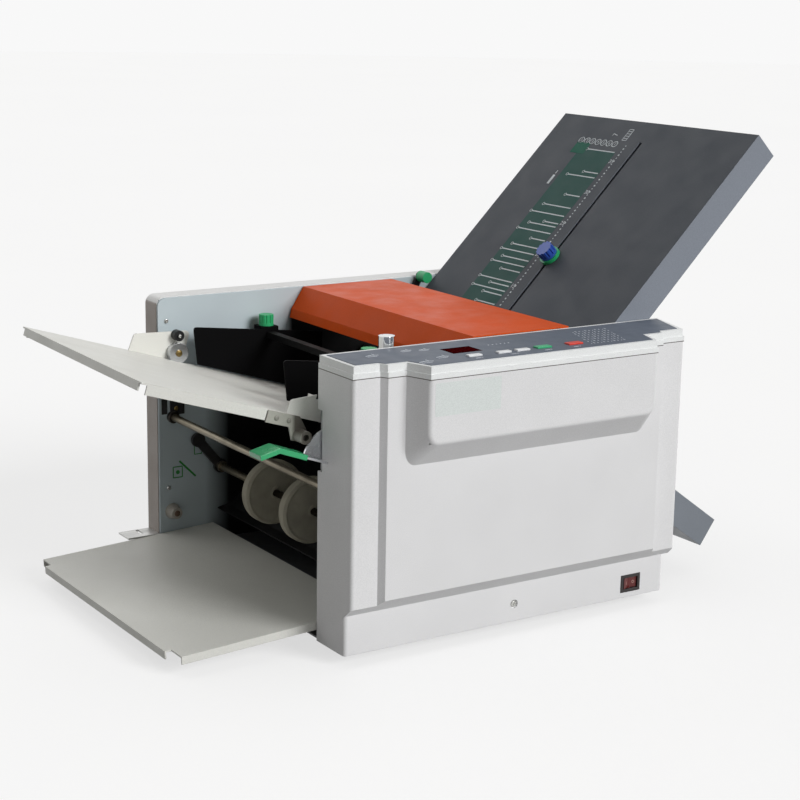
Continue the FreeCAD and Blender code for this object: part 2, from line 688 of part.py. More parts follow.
def near_housing():
    body = new_body("near_housing")
    right = s.housing_length
    outline = open_plan(ZERO)
    panel = outline[:4] + outline[8:]
    bulge = [outline[4], outline[5], outline[6], outline[7]]
    pad(body, "top", [panel], cap_base - s.base_top, s.base_top)
    pad(body, "top", [bulge], cap_base - s.bulge_bevel_foot, s.bulge_bevel_foot)
    base = box((ZERO, -s.base_depth), (base_right, ZERO))
    pad(body, "top", [base], s.base_top - s.foot_height, s.foot_height)
    upper_bevel = [(-s.panel_depth, s.bulge_bevel_foot), (-s.bulge_depth, s.bulge_bevel_top),
                   (-s.bulge_depth - s.overrun, s.bulge_bevel_top),
                   (-s.bulge_depth - s.overrun, s.bulge_bevel_foot)]
    cut(body, "end", [upper_bevel], s.bulge_length + 2 * s.overrun, s.bulge_start - s.overrun)
    lower_bevel = [(-s.base_depth, s.base_top), (-s.panel_depth, s.panel_bevel_top),
                   (-s.panel_depth - s.overrun, s.panel_bevel_top),
                   (-s.panel_depth - s.overrun, s.base_top)]
    cut(body, "end", [lower_bevel], right + s.housing_back_reach + 2 * s.overrun, -s.overrun)
    round_edges(body, s.corner_round, [
        (0, -s.strip_depth, None), (right, -s.strip_depth, None),
        (0, -s.base_depth, None), (base_right, -s.base_depth, None)])
    bulge_end = s.bulge_start + s.bulge_length
    round_edges(body, s.bulge_corner_round, [
        ((s.bulge_start, -s.panel_depth, s.bulge_bevel_foot),
         (s.bulge_start + s.bulge_ramp, -s.bulge_depth, s.bulge_bevel_top)),
        ((bulge_end, -s.panel_depth, s.bulge_bevel_foot),
         (bulge_end - s.bulge_ramp, -s.bulge_depth, s.bulge_bevel_top))])
    round_edges(body, s.bulge_round, [
        (s.bulge_start + s.bulge_ramp, -s.bulge_depth, None),
        (bulge_end - s.bulge_ramp, -s.bulge_depth, None)])
    # The inside is open at the back, the top and the bottom, where the frame, the cap and the
    # base plate close it
    wall = s.housing_wall
    inner = open_plan(wall)
    above = cap_base + s.overrun
    inner_panel = [(x, s.overrun if y is ZERO else y) for x, y in inner[:4] + inner[8:]]
    cut(body, "top", [inner_panel], above - s.panel_bevel_top, s.panel_bevel_top)
    inner_bulge = [(inner[4][0], inner[4][1] + s.overrun), inner[5], inner[6],
                   (inner[7][0], inner[7][1] + s.overrun)]
    cut(body, "top", [inner_bulge], above - s.bulge_bevel_top, s.bulge_bevel_top)
    inner_base = box((wall, wall - s.base_depth), (base_right - wall, s.overrun))
    cut(body, "top", [inner_base], s.panel_bevel_top - s.foot_height + s.overrun, s.foot_height - s.overrun)
    # Slot for the lift cam, in the left end beside the side frame
    notch = box((-s.overrun, s.notch_bottom), (wall + s.overrun, s.notch_top))
    cut(body, "side", [notch], s.notch_width + s.overrun, -s.notch_width)
    # Openings in the base's front: the rocker switch and a sunk screw
    low = s.switch_level - s.switch_height / 2
    left = s.switch_centre - s.switch_length / 2
    window = box((left, low), (left + s.switch_length, low + s.switch_height))
    through = wall + 2 * s.overrun
    front = -s.base_depth - s.overrun
    cut(body, "side", [window], through, front)
    recess = Ring(s.base_screw_place, s.base_screw_level, s.screw_recess)
    cut(body, "side", [recess], wall / 2 + s.overrun, front)
    # Mains inlet, in the right end of the base
    half = s.inlet_width / 2
    inlet = box((-s.inlet_inset - half, s.inlet_level - s.inlet_height / 2),
                (-s.inlet_inset + half, s.inlet_level + s.inlet_height / 2))
    cut(body, "end", [inlet], through, base_right - wall - s.overrun)
    place(body, 0, 0, 0)


def housing_cap():
    body = new_body("housing_cap")
    ledge = s.cap_ledge
    pad(body, "top", [open_plan(ZERO)], ledge)
    pad(body, "top", [open_plan(s.cap_groove)], s.cap_height - ledge, ledge)
    hollow = open_plan(s.housing_wall)
    hollow[0] = (hollow[0][0], -s.housing_wall)
    hollow[-1] = (hollow[-1][0], -s.housing_wall)
    cut(body, "top", [hollow], s.cap_height - s.housing_wall + s.overrun, -s.overrun)
    for length, width, x, row in KEYS.values():
        hole = key_outline(length, width, x, row, s.button_gap)
        cut(body, "top", [hole], s.housing_wall + 2 * s.overrun, s.cap_height - s.housing_wall - s.overrun)
    place(body, 0, 0, cap_base)


def key_outline(length, width, x, row, margin):
    """Plan of a key, drawn out by a margin."""
    return box((x - length / 2 - margin, -row - width / 2 - margin),
               (x + length / 2 + margin, -row + width / 2 + margin))


KEYS = {
    "button_first": (s.button_length, s.button_width, s.button_first_place, s.button_row),
    "button_second": (s.button_length, s.button_width, s.button_second_place, s.button_row),
    "button_third": (s.button_length, s.button_width, s.button_third_place, s.button_row),
    "start_button": (s.start_length, s.start_width, s.start_place, s.start_row),
    "stop_button": (s.start_length, s.start_width, s.stop_place, s.start_row),
}


def control_overlay():
    body = new_body("control_overlay")
    pad(body, "top", [plan_outline(s.overlay_margin)], s.overlay_gauge)
    for length, width, x, row in KEYS.values():
        hole = key_outline(length, width, x, row, s.button_gap)
        cut(body, "top", [hole], s.overlay_gauge + 2 * s.overrun, -s.overrun)
    window = key_outline(s.display_length, s.display_width, s.display_left + s.display_length / 2,
                         s.display_centre, ZERO)
    cut(body, "top", [window], s.overlay_gauge + 2 * s.overrun, -s.overrun)
    place(body, 0, 0, s.housing_top)


def display_window():
    body = new_body("display_window")
    window = key_outline(s.display_length, s.display_width, s.display_left + s.display_length / 2,
                         s.display_centre, ZERO)
    pad(body, "top", [window], s.overlay_gauge)
    place(body, 0, 0, s.housing_top)


def key(label, length, width, x, row):
    """A push button: its key, a collar under the cap's deck and a stem above its switch."""
    body = new_body(label)
    deck = s.housing_top - s.housing_wall
    collar_top = deck - s.seat_gap
    top = s.housing_top + s.overlay_gauge + s.button_rise
    pad(body, "top", [key_outline(length, width, x, row, ZERO)], top - collar_top, collar_top)
    collar = key_outline(length, width, x, row, s.button_collar)
    pad(body, "top", [collar], s.button_collar, collar_top - s.button_collar)
    stem = key_outline(s.button_collar, s.button_collar, x, row, s.button_collar / 2)
    pad(body, "top", [stem], s.button_stem - s.button_collar, collar_top - s.button_stem)
    round_edges(body, s.button_round, [
        (x - length / 2, None, top), (x + length / 2, None, top),
        (None, -row - width / 2, top), (None, -row + width / 2, top)])
    place(body, 0, 0, 0)


def circuit_board():
    """The board under the keys: a plate hung from the cap, with a switch under each key."""
    body = new_body("circuit_board")
    deck = s.housing_top - s.housing_wall
    switch_top = deck - s.seat_gap - s.button_stem - s.button_travel
    board_top = switch_top - s.board_switch
    left, right = s.button_first_place - s.board_margin, s.stop_place + s.board_margin
    front, back = -s.button_row - s.board_front, -s.board_back
    pad(body, "top", [box((left, front), (right, back))], s.board_gauge, board_top - s.board_gauge)
    for length, width, x, row in KEYS.values():
        square = key_outline(s.board_switch, s.board_switch, x, row, ZERO)
        pad(body, "top", [square], s.board_switch - s.seat_gap, board_top)
    posts = [Ring(x, y, s.board_post) for x in (left + 2 * s.board_post, right - 2 * s.board_post)
             for y in (front + 2 * s.board_post, back - 2 * s.board_post)]
    pad(body, "top", posts, deck - board_top, board_top)
    chips = [box((left + s.board_margin, back - share * s.board_back),
                 (left + s.board_margin + s.board_back, back - share * s.board_back + s.board_margin / 2))
             for share in CHIP_SHARES]
    pad(body, "top", chips, s.board_gauge, board_top)
    place(body, 0, 0, 0)


CHIP_SHARES = (0.6, 1.0)


def power_switch():
    """The rocker switch: a frame in the base's front, and the rocker tilted in it."""
    frame = new_body("power_switch_frame")
    length, height, rim = s.switch_length, s.switch_height, s.switch_rim
    face = -s.base_depth
    low = (-length / 2, -height / 2)
    high = (length / 2, height / 2)
    shrink = s.button_gap
    inner = box((low[0] + rim, low[1] + rim), (high[0] - rim, high[1] - rim))
    outer = box((low[0] - rim, low[1] - rim), (high[0] + rim, high[1] + rim))
    pad(frame, "side", [outer, inner], rim / 2, -rim / 2)
    shell = box((low[0] + shrink / 2, low[1] + shrink / 2), (high[0] - shrink / 2, high[1] - shrink / 2))
    pad(frame, "side", [shell, inner], s.switch_depth)
    pad(frame, "side", [shell], rim, s.switch_depth)
    tall = height / 2 - rim - shrink
    reach = tall + shrink + rim / 2
    pin_hole = Ring(0, s.rocker_sink, s.rocker_pin + s.running_gap)
    cut(frame, "top", [pin_hole], 2 * (reach + s.running_gap), -(reach + s.running_gap))
    place(frame, s.switch_centre, face, s.switch_level)

    rocker = new_body("power_rocker")
    half = length / 2 - rim - shrink
    depth = s.rocker_depth
    # Seen from above: a shallow V of two faces, with a pivot pin above and below it
    proud = s.rocker_proud
    outline = [(-half, -proud), (0, 0), (half, -proud), (half, proud), (proud, depth), (-proud, depth),
               (-half, proud)]
    pad(rocker, "top", [outline], 2 * tall, -tall)
    for start in (-reach, tall):
        pad(rocker, "top", [Ring(0, 0, s.rocker_pin)], reach - tall, start)
    place(rocker, s.switch_centre, face + s.rocker_sink, s.switch_level, Vector(0, 0, 1), s.rocker_tilt)


def power_inlet():
    body = new_body("power_inlet")
    wide, tall = s.inlet_width / 2, s.inlet_height / 2
    shrink = s.button_gap / 2
    rim = s.inlet_rim
    hole = box((-wide + rim, -tall + rim), (wide - rim, tall - rim))
    pad(body, "end", [box((-wide - rim, -tall - rim), (wide + rim, tall + rim)), hole], rim / 2)
    shell = box((-wide + shrink, -tall + shrink), (wide - shrink, tall - shrink))
    pad(body, "end", [shell, hole], s.inlet_depth, -s.inlet_depth)
    pad(body, "end", [shell], rim, -s.inlet_depth - rim)
    for share in (-1, 0, 1):
        pin = box((share * wide / 2 - rim / 2, -rim), (share * wide / 2 + rim / 2, rim))
        pad(body, "end", [pin], s.inlet_depth * s.inlet_pin_share, -s.inlet_depth)
    place(body, base_right, -s.inlet_inset, s.inlet_level)


def frame_holes(extra):
    """Round holes that both side frames have, and those of one of them."""
    bush = s.roller_shaft + s.running_gap + s.bush_wall
    holes = [Ring(x, z, bush) for x, z in ROLLER_AXES.values()]
    holes.append(Ring(*FEED_AXIS, bush))
    holes.append(Ring(s.stacker_pivot_place, s.stacker_pivot_level, s.stacker_shaft_radius + s.running_gap))
    holes.append(Ring(HOOD_PIN[0], HOOD_PIN[1], s.hood_pin_radius + s.running_gap))
    return holes + extra


def side_frames():
    play = s.running_gap
    wall = s.housing_wall + s.seat_gap
    near_plate = new_body("near_side_frame")
    top = cap_base - s.seat_gap
    outline = [(wall, base_plate_top), (base_right - wall, base_plate_top),
               (base_right - wall, s.panel_bevel_top + s.seat_gap),
               (s.housing_length + s.frame_step, s.panel_bevel_top + s.seat_gap),
               (s.housing_length + s.frame_step, top), (wall, top)]
    pad(near_plate, "side", [outline], s.frame_gauge)
    holes = frame_holes([Ring(s.cam_place, s.cam_level, s.cam_stud + play)])
    cut(near_plate, "side", holes, s.frame_gauge + 2 * s.overrun, -s.overrun)
    # Its bent tab carries the pressure knob
    half = s.pressure_radius + s.frame_gauge
    tab = box((s.pressure_place - half, 0), (s.pressure_place + half, s.frame_gauge + 2 * s.pressure_inset))
    pad(near_plate, "top", [tab], s.frame_gauge, s.pressure_bracket_level)
    hole = Ring(s.pressure_place, s.frame_gauge + s.pressure_inset, s.pressure_stem + play)
    cut(near_plate, "top", [hole], s.frame_gauge + 2 * s.overrun, s.pressure_bracket_level - s.overrun)
    place(near_plate, 0, -s.frame_gauge, 0)

    far_plate = new_body("far_side_frame")
    left, end = s.cover_left + s.frame_inset, s.housing_length - s.frame_inset
    outline = box((left, s.foot_height), (end, s.cover_top - s.frame_inset))
    pad(far_plate, "side", [outline], s.frame_gauge)
    round_edges(far_plate, s.cover_round - s.frame_inset, [
        (left, None, s.cover_top - s.frame_inset), (end, None, s.cover_top - s.frame_inset)])
    holes = frame_holes([Ring(s.latch_place, s.latch_level, s.latch_pin + play)])
    cut(far_plate, "side", holes, s.frame_gauge + 2 * s.overrun, -s.overrun)
    place(far_plate, 0, s.inner_width, 0)


def far_cover():
    body = new_body("far_cover")
    left, right = s.cover_left, s.housing_length
    pad(body, "side", [box((left, s.foot_height), (right, s.cover_top))], s.cover_depth)
    round_edges(body, s.cover_round, [(left, None, s.cover_top), (right, None, s.cover_top)])
    wall = s.cover_wall
    hollow = box((left + wall, s.foot_height + wall), (right - wall, s.cover_top - wall))
    cut(body, "side", [hollow], s.cover_depth - wall + s.overrun, -s.overrun)
    # Cooling louvres behind the drive
    for number in range(LOUVRES):
        low = s.louvre_level + number * s.louvre_pitch
        slot = box((s.louvre_place, low), (s.louvre_place + s.louvre_length, low + s.louvre_width))
        cut(body, "side", [slot], wall + 2 * s.overrun, s.cover_depth - wall - s.overrun)
    place(body, 0, s.inner_width + s.frame_gauge, 0)


LOUVRES = 6


def base_parts():
    body = new_body("base_plate")
    gap = s.housing_wall + s.seat_gap
    front = s.housing_wall - s.base_depth + s.seat_gap
    pad(body, "top", [box((gap, front), (base_right - gap, s.inner_width))], s.base_gauge)
    place(body, 0, 0, s.foot_height)

    tab = new_body("tray_bracket")
    depth = s.frame_gauge + s.cover_depth - s.tab_margin
    end = s.cover_left
    pad(tab, "top", [box((-s.tab_length, 0), (0, depth))], s.base_gauge)
    slot_half = s.tab_slot / 2
    middle = -s.tab_length * s.tab_slot_share
    slot = box((middle - slot_half, depth / 2 - 2 * slot_half), (middle + slot_half, depth - slot_half))
    cut(tab, "top", [slot],
        s.base_gauge + 2 * s.overrun, -s.overrun)
    pad(tab, "top", [box((-s.base_gauge, 0), (0, depth))], s.tab_foot, -s.tab_foot)
    place(tab, end, s.inner_width, s.tab_level - s.base_gauge)

    feet = []
    spots = [(s.foot_inset, s.foot_front), (base_right - s.foot_inset, s.foot_front),
             (s.foot_inset, s.inner_width - s.foot_inset),
             (base_right - s.foot_inset, s.inner_width - s.foot_inset)]
    for number, (x, y) in enumerate(spots, start=1):
        foot = doc.addObject("Part::Cone", f"foot_{number}")
        foot.setExpression("Radius1", (s.foot_radius * s.foot_taper_share).text)
        foot.setExpression("Radius2", s.foot_radius.text)
        foot.setExpression("Height", s.foot_height.text)
        feet.append(stand(foot, x, y, 0))
    group("rubber_feet", feet)


# Feed table, lift lever and side guides


def on_slope(x, z, left, level, tilt):
    """Machine place of a point given along and across a slope that falls to the right."""
    return (left + x * cosine(tilt) + z * sine(tilt), level - x * sine(tilt) + z * cosine(tilt))


def on_table(x, z):
    """Place along and across the feed table of a point given in the machine."""
    right, up = x - s.feed_left, z - s.feed_level
    return (right * cosine(s.feed_tilt) - up * sine(s.feed_tilt),
            right * sine(s.feed_tilt) + up * cosine(s.feed_tilt))


TABLE_WIDTH = s.inner_width - 2 * s.feed_margin
CAM_CENTRE = (s.cam_place + s.cam_throw * cosine(s.cam_throw_angle),
              s.cam_level + s.cam_throw * sine(s.cam_throw_angle))
FOLLOWER_REACH = s.cam_radius + s.follower_radius + s.seat_gap
FOLLOWER = (CAM_CENTRE[0] + FOLLOWER_REACH * cosine(s.follower_angle),
            CAM_CENTRE[1] + FOLLOWER_REACH * sine(s.follower_angle))
PIVOT = on_table(s.pivot_place, s.pivot_level)


def on_feed_table(body, y):
    place(body, s.feed_left, s.feed_margin + y, s.feed_level, ALONG_Y, s.feed_tilt)


def feed_table():
    """One bent sheet with an ear at each side, through which its pivot runs."""
    gauge, width = s.sheet_gauge, TABLE_WIDTH
    pivot_x, pivot_z = PIVOT
    body = new_body("feed_tray")
    pad(body, "top", [[(0, 0), (s.feed_length, 0), (s.feed_length, width), (s.feed_skew, width)]],
        gauge, -gauge)
    first = s.feed_skew * s.feed_corner / width
    last = s.feed_skew - first
    lip = [(first, s.feed_corner), (first + gauge, s.feed_corner), (last + gauge, width - s.feed_corner),
           (last, width - s.feed_corner)]
    pad(body, "top", [lip], s.feed_lip, -s.feed_lip)
    low = -s.feed_flange
    pad(body, "side", [box((s.feed_corner, low), (s.feed_flange_length, 0))], gauge)
    pad(body, "side", [box((s.feed_skew + s.feed_corner, low), (s.feed_flange_length, 0))],
        gauge, width - gauge)
    # Room for the pivot's discs
    room = s.pivot_disc_radius + 2 * gauge
    depth = s.pivot_disc_width + s.pivot_disc_gap + 2 * gauge
    for low, high in ((-s.overrun, depth), (width - depth, width + s.overrun)):
        cut(body, "top", [box((pivot_x - room, low), (pivot_x + room, high))],
            gauge + 2 * s.overrun, -gauge - s.overrun)
    arm = s.pivot_disc_radius - gauge
    start, end, high = s.ear_start, s.ear_start + s.ear_length, s.ear_high
    near_ear = [(start, -gauge), (start + gauge, s.ear_low), (end, high), (end, pivot_z + arm),
                (pivot_x + arm, pivot_z + arm), (pivot_x + arm, -gauge)]
    pad(body, "side", [near_ear], gauge)
    pad(body, "end", [box((0, -gauge), (s.ear_low, high - gauge))], gauge, end - gauge)
    far_start, far_low = s.far_ear_start, s.far_ear_low
    far_ear = [(far_start, -gauge), (far_start + gauge, far_low), (pivot_x + arm, s.far_ear_high),
               (pivot_x + arm, -gauge)]
    pad(body, "side", [far_ear], gauge, width - gauge)
    hole = Ring(pivot_x, pivot_z, s.pivot_radius + s.running_gap)
    cut(body, "side", [hole], width + 2 * s.overrun, -s.overrun)
    round_edges(body, s.ear_low * s.ear_round_share, [
        (start + gauge, None, s.ear_low), (far_start + gauge, None, far_low),
        (pivot_x + arm, None, s.far_ear_high)])
    on_feed_table(body, ZERO)

    roller = new_body("ear_roller")
    pad(roller, "side", [Ring(0, 0, s.ear_roller_radius)], s.ear_roller_width, -s.ear_roller_width)
    pad(roller, "side", [Ring(0, 0, s.screw_radius)], s.screw_head, -s.ear_roller_width - s.screw_head)
    place(roller, s.pivot_place, s.feed_margin + width - gauge, s.pivot_level + s.ear_roller_rise)


def hinge_bracket():
    """The bracket under the feed table's near edge, with the boss that rides on the cam."""
    gauge = s.sheet_gauge
    fx, fz = on_table(*FOLLOWER)
    reach = s.follower_radius
    start, drop = s.bracket_start, s.bracket_drop
    end = start + s.bracket_length
    body = new_body("tray_hinge_bracket")
    outline = [(start, 0), (start, -drop), (fx - 2 * reach, -drop), (fx - reach, fz - reach),
               (fx + reach, fz - reach), (fx + reach, fz + reach), (end, 0)]
    holes = [Ring(start + s.bracket_length * share, -drop / 2, s.bracket_hole) for share in hole_shares]
    pad(body, "side", [outline, *holes], gauge, -gauge)
    length = s.feed_margin - gauge + s.frame_gauge + s.cam_offset
    pad(body, "side", [Ring(fx, fz, reach)], length, -gauge - length)
    cut(body, "side", [Ring(fx, fz, reach * s.follower_socket_share)], length / 2 + s.overrun,
        -gauge - length - s.overrun)
    on_feed_table(body, ZERO)


hole_shares = (0.3, 0.7)


def tray_pivots():
    """A stud with an aluminium disc at each end of the feed table's pivot."""
    reach = s.feed_margin + s.sheet_gauge + s.pivot_disc_gap
    width = s.pivot_disc_width
    body = new_body("tray_pivot_discs")
    for stud, disc in ((ZERO, reach), (s.inner_width - reach, s.inner_width - reach - width)):
        pad(body, "side", [Ring(0, 0, s.pivot_radius)], reach, stud)
        pad(body, "side", [Ring(0, 0, s.pivot_disc_radius)], width, disc)
    place(body, s.pivot_place, 0, s.pivot_level)


def lift_lever():
    """The quarter cam, its flange and the green grip. The body is turned so that the flange lies
    along -X. The cam's arc is off the axis, so turning the lever down lifts the follower."""
    gauge, reach = s.cam_gauge, 2 * s.cam_radius
    tilt = s.cam_flange_slope
    turned = s.cam_throw_angle + tilt
    body = new_body("lift_cam")
    arc = Ring(s.cam_throw * cosine(turned), s.cam_throw * sine(turned), s.cam_radius)
    pad(body, "side", [arc], gauge)
    through = gauge + 2 * s.overrun
    cut(body, "side", [box((-reach, -reach), (reach, 0))], through, -s.overrun)
    side = [(0, 0), (-reach * sine(tilt), reach * cosine(tilt)), (reach, reach), (reach, 0)]
    cut(body, "side", [side], through, -s.overrun)
    pad(body, "side", [Ring(0, 0, s.cam_hub)], gauge)
    pad(body, "side", [Ring(0, 0, s.cam_stud)], gauge + s.cam_offset)
    inner_end, outer_end = -s.cam_flange_start, -s.cam_flange_start - s.cam_flange_length
    width = s.cam_flange_width
    flange = [(inner_end, gauge), (outer_end, gauge), (outer_end, -width),
              (inner_end, -width * s.cam_flange_share)]
    pad(body, "top", [flange], gauge)
    y = -s.cam_offset - gauge
    place(body, s.cam_place, y, s.cam_level, ALONG_Y, tilt)

    grip = new_body("lever_grip")
    thick = s.grip_gauge
    outline = folded((outer_end, (gauge - thick) / 2),
                     [(s.grip_arm, HALF_TURN), (s.grip_end, s.grip_end_angle)],
                     thick)
    pad(grip, "side", [outline], s.grip_width, -width)
    place(grip, s.cam_place, y, s.cam_level, ALONG_Y, tilt)


def side_guide(label, knob_label, y, inward):
    """A black guide: a panel that hangs from a block on the rail, and the knob that clamps it."""
    body = new_body(label)
    gauge = s.guide_gauge
    left, right = s.guide_left, s.guide_right
    lift = s.guide_clear / cosine(s.feed_tilt)

    def table_height(x):
        return s.feed_level - (x - s.feed_left) * tangent(s.feed_tilt) + lift

    foot_left = left + s.guide_taper
    outline = [(left, s.guide_left_level), (foot_left, table_height(foot_left)), (right, table_height(right)),
               (right, s.guide_right_level)]
    pad(body, "side", [outline], gauge)
    round_edges(body, s.guide_round, [(left, None, s.guide_left_level)])
    wall = (s.guide_block - s.rail_width) / 2
    half = s.guide_block / 2
    block_low = s.rail_level - s.rail_height / 2 - wall
    block_high = s.rail_level + s.rail_height / 2 + wall
    depth = s.guide_block_depth
    start = gauge - depth if inward else ZERO
    block = box((s.rail_place - half, block_low), (s.rail_place + half, block_high))
    pad(body, "side", [block], depth, start)
    play = s.rail_play
    bore = box((s.rail_place - s.rail_width / 2 - play, s.rail_level - s.rail_height / 2 - play),
               (s.rail_place + s.rail_width / 2 + play, s.rail_level + s.rail_height / 2 + play))
    cut(body, "side", [bore], depth + 2 * s.overrun, start - s.overrun)
    place(body, 0, y, 0)

    knob = new_body(knob_label)
    height = s.guide_knob_height
    pad(knob, "top", [Ring(0, 0, s.guide_knob_radius)], height)
    cut(knob, "top", flutes(s.guide_knob_radius), height + s.overrun, height * s.knob_brim_share)
    place(knob, s.rail_place, y + start + depth / 2, block_high)


KNOB_FLUTES = 12


def flutes(radius):
    """Circles on a knob's rim that cut its grip."""
    angles = [sized(number * 360 / KNOB_FLUTES) for number in range(KNOB_FLUTES)]
    flute = radius * s.knob_flute_share
    return [Ring(radius * cosine(angle), radius * sine(angle), flute) for angle in angles]


def guide_parts():
    rail = new_body("guide_rail")
    half = s.rail_width / 2
    pad(rail, "side", [box((-half, -s.rail_height / 2), (half, s.rail_height / 2))], s.inner_width)
    place(rail, s.rail_place, 0, s.rail_level)
    side_guide("far_side_guide", "far_guide_knob", s.guide_far, False)
    side_guide("near_side_guide", "near_guide_knob", s.guide_near, True)


def pressure_knob():
    knob = new_body("pressure_knob")
    top = s.pressure_top - s.pressure_bracket_level
    radius, height = s.pressure_radius, s.pressure_height
    below = s.pressure_inset / 2
    pad(knob, "top", [Ring(0, 0, s.pressure_stem)], top + below, -below)
    pad(knob, "top", [Ring(0, 0, radius)], height, top - height)
    slit = s.pressure_slit / 2
    slits = [box((-slit, -radius - s.overrun), (slit, 2 * slit - radius)),
             box((-slit, radius - 2 * slit), (slit, radius + s.overrun))]
    cut(knob, "top", slits, height + 2 * s.overrun, top - height - s.overrun)
    place(knob, s.pressure_place, s.pressure_inset, s.pressure_bracket_level)


# Cover and rollers

HOOD_FOLD = (s.hood_left + s.hood_lip * cosine(s.hood_lip_angle),
             s.hood_level + s.hood_lip * sine(s.hood_lip_angle))
HOOD_RIDGE = (HOOD_FOLD[0] + s.hood_front * cosine(s.hood_front_angle),
              HOOD_FOLD[1] + s.hood_front * sine(s.hood_front_angle))
HOOD_PIN = (HOOD_RIDGE[0] + s.hood_deck - s.hood_pin_inset, HOOD_RIDGE[1] - s.hood_pin_drop)


def roller_cover():
    """The orange cover: one folded sheet with a hinge tab and pin at each end."""
    body = new_body("fold_roller_cover")
    gauge, gap = s.thin_gauge, s.hood_gap
    outline = folded((s.hood_left, s.hood_level), [
        (s.hood_lip, s.hood_lip_angle), (s.hood_front, s.hood_front_angle),
        (s.hood_deck, ZERO), (s.hood_back, -QUARTER_TURN)], gauge)
    pad(body, "side", [outline], s.inner_width - 2 * gap, gap)
    x, z = HOOD_PIN
    half = 2 * s.hood_pin_radius
    tab = box((x - half, z - half), (x + half, HOOD_RIDGE[1] - gauge / 2))
    for start, pin in ((gap, -s.frame_gauge), (s.inner_width - gap - gauge, s.inner_width - gap)):
        pad(body, "side", [tab], gauge, start)
        pad(body, "side", [Ring(x, z, s.hood_pin_radius)], s.frame_gauge + gap, pin)
    place(body, 0, 0, 0)


def beside_main(angle):
    return (s.roller_place + s.roller_pitch * cosine(angle), s.roller_level + s.roller_pitch * sine(angle))


ROLLER_AXES = {
    "a": beside_main(s.nip_one_angle),
    "b": (s.roller_place, s.roller_level),
    "c": beside_main(s.nip_two_angle),
    "d": beside_main(s.nip_three_angle),
}
FEED_AXIS = on_slope(s.feed_length + s.feed_roller_reach, s.feed_roller_radius + s.feed_roller_clear,
                     s.feed_left, s.feed_level, s.feed_tilt)
MOTOR_AXIS = (s.motor_place, s.motor_level)
GEAR_FACE = -s.frame_gauge - s.gear_offset
GEAR_BACK = GEAR_FACE - s.gear_width
PULLEY_FACE = GEAR_BACK - s.pulley_gap
PULLEY_BACK = PULLEY_FACE - s.pulley_width
FAR_PULLEY = s.inner_width + s.frame_gauge + s.pulley_gap


def turned(start, end, shaft, rings):
    """Profile of a turned part: a shaft from start to end, with wider rings on it."""
    profile = [(start, 0)]
    at = start
    for low, high, radius in rings:
        if low is not at:
            profile += [(at, shaft), (low, shaft)]
        profile += [(low, radius), (high, radius)]
        at = high
    if end is not at:
        profile += [(at, shaft), (end, shaft)]
    return profile + [(end, 0)]


def pulley_rings(start, end, radius):
    """The two flanges and the drum of a belt pulley."""
    edge = (s.pulley_width - s.belt_width) / 4
    first, last = start + edge, end - edge
    return [(start, first, radius + s.belt_gauge), (first, last, radius), (last, end, radius + s.belt_gauge)]


groove_shares = (0.2, 0.4, 0.6, 0.8)


def fold_roller(name, near_end, near_rings, far_rings, far_end, gear_angle):
    """A grooved steel roller, its shaft, its gear and its pulleys, turned and cut as one piece."""
    body = new_body(f"fold_roller_{name}")
    module = s.roller_pitch / s.gear_teeth
    pitch = s.roller_pitch / 2
    root, tip = pitch - 1.25 * module, pitch + module
    start, end = s.roller_end_gap, s.inner_width - s.roller_end_gap
    width = s.roller_groove_width
    rings = [*near_rings, (GEAR_BACK, GEAR_FACE, root)]
    at = start
    for share in groove_shares:
        middle = start + (end - start) * share
        low, high = middle - width / 2, middle + width / 2
        rings += [(at, low, roller_radius), (low, high, roller_radius - s.roller_groove)]
        at = high
    rings += [(at, end, roller_radius), *far_rings]
    revolve(body, [turned(near_end, far_end, s.roller_shaft, rings)])
    # One straight-flanked tooth and its pattern round the axis
    half = (math.pi / 2 * module - s.gear_backlash) / 2
    slope = tangent(s.gear_flank)
    foot = root - module / 4
    foot_half, tip_half = half + (pitch - foot) * slope, half - (tip - pitch) * slope
    tooth = pad(body, "side", [[(foot, -foot_half), (tip, -tip_half), (tip, tip_half), (foot, foot_half)]],
                s.gear_width, GEAR_BACK)
    doc.recompute()
    teeth = body.newObject("PartDesign::PolarPattern", f"gear_{name}_teeth")
    teeth.Originals = [tooth]
    teeth.Axis = (origin_feature(body, "Y_Axis"), [""])
    teeth.Angle = 360
    teeth.setExpression("Occurrences", s.gear_teeth.text)
    body.Tip = teeth
    x, z = ROLLER_AXES[name]
    place(body, x, 0, z, ALONG_Y, gear_angle)


def belt(label, first, first_radius, second, second_radius, start):
    """A flat belt round two pulleys, drawn with the line between their axes along X."""
    body = doc.addObject("PartDesign::Body", label)
    run, rise = second[0] - first[0], second[1] - first[1]
    span = square_root(run * run + rise * rise)
    lean = (first_radius - second_radius) / span
    up = square_root(sized(1) - lean * lean)
    width = s.belt_width

    def strap(make, offset, depth, lift):
        big, small = first_radius + offset, second_radius + offset
        make(body, "side", [Ring(0, 0, big)], depth, lift)
        make(body, "side", [Ring(span, 0, small)], depth, lift)
        make(body, "side", [[(big * lean, -big * up), (span + small * lean, -small * up),
                             (span + small * lean, small * up), (big * lean, big * up)]], depth, lift)

    strap(pad, s.belt_gauge, width, ZERO)
    strap(cut, s.running_gap, width + 2 * s.overrun, -s.overrun)
    place_y = start + (s.pulley_width - width) / 2
    return stand(body, first[0], place_y, first[1], ALONG_Y, -rise_angle(rise, run))


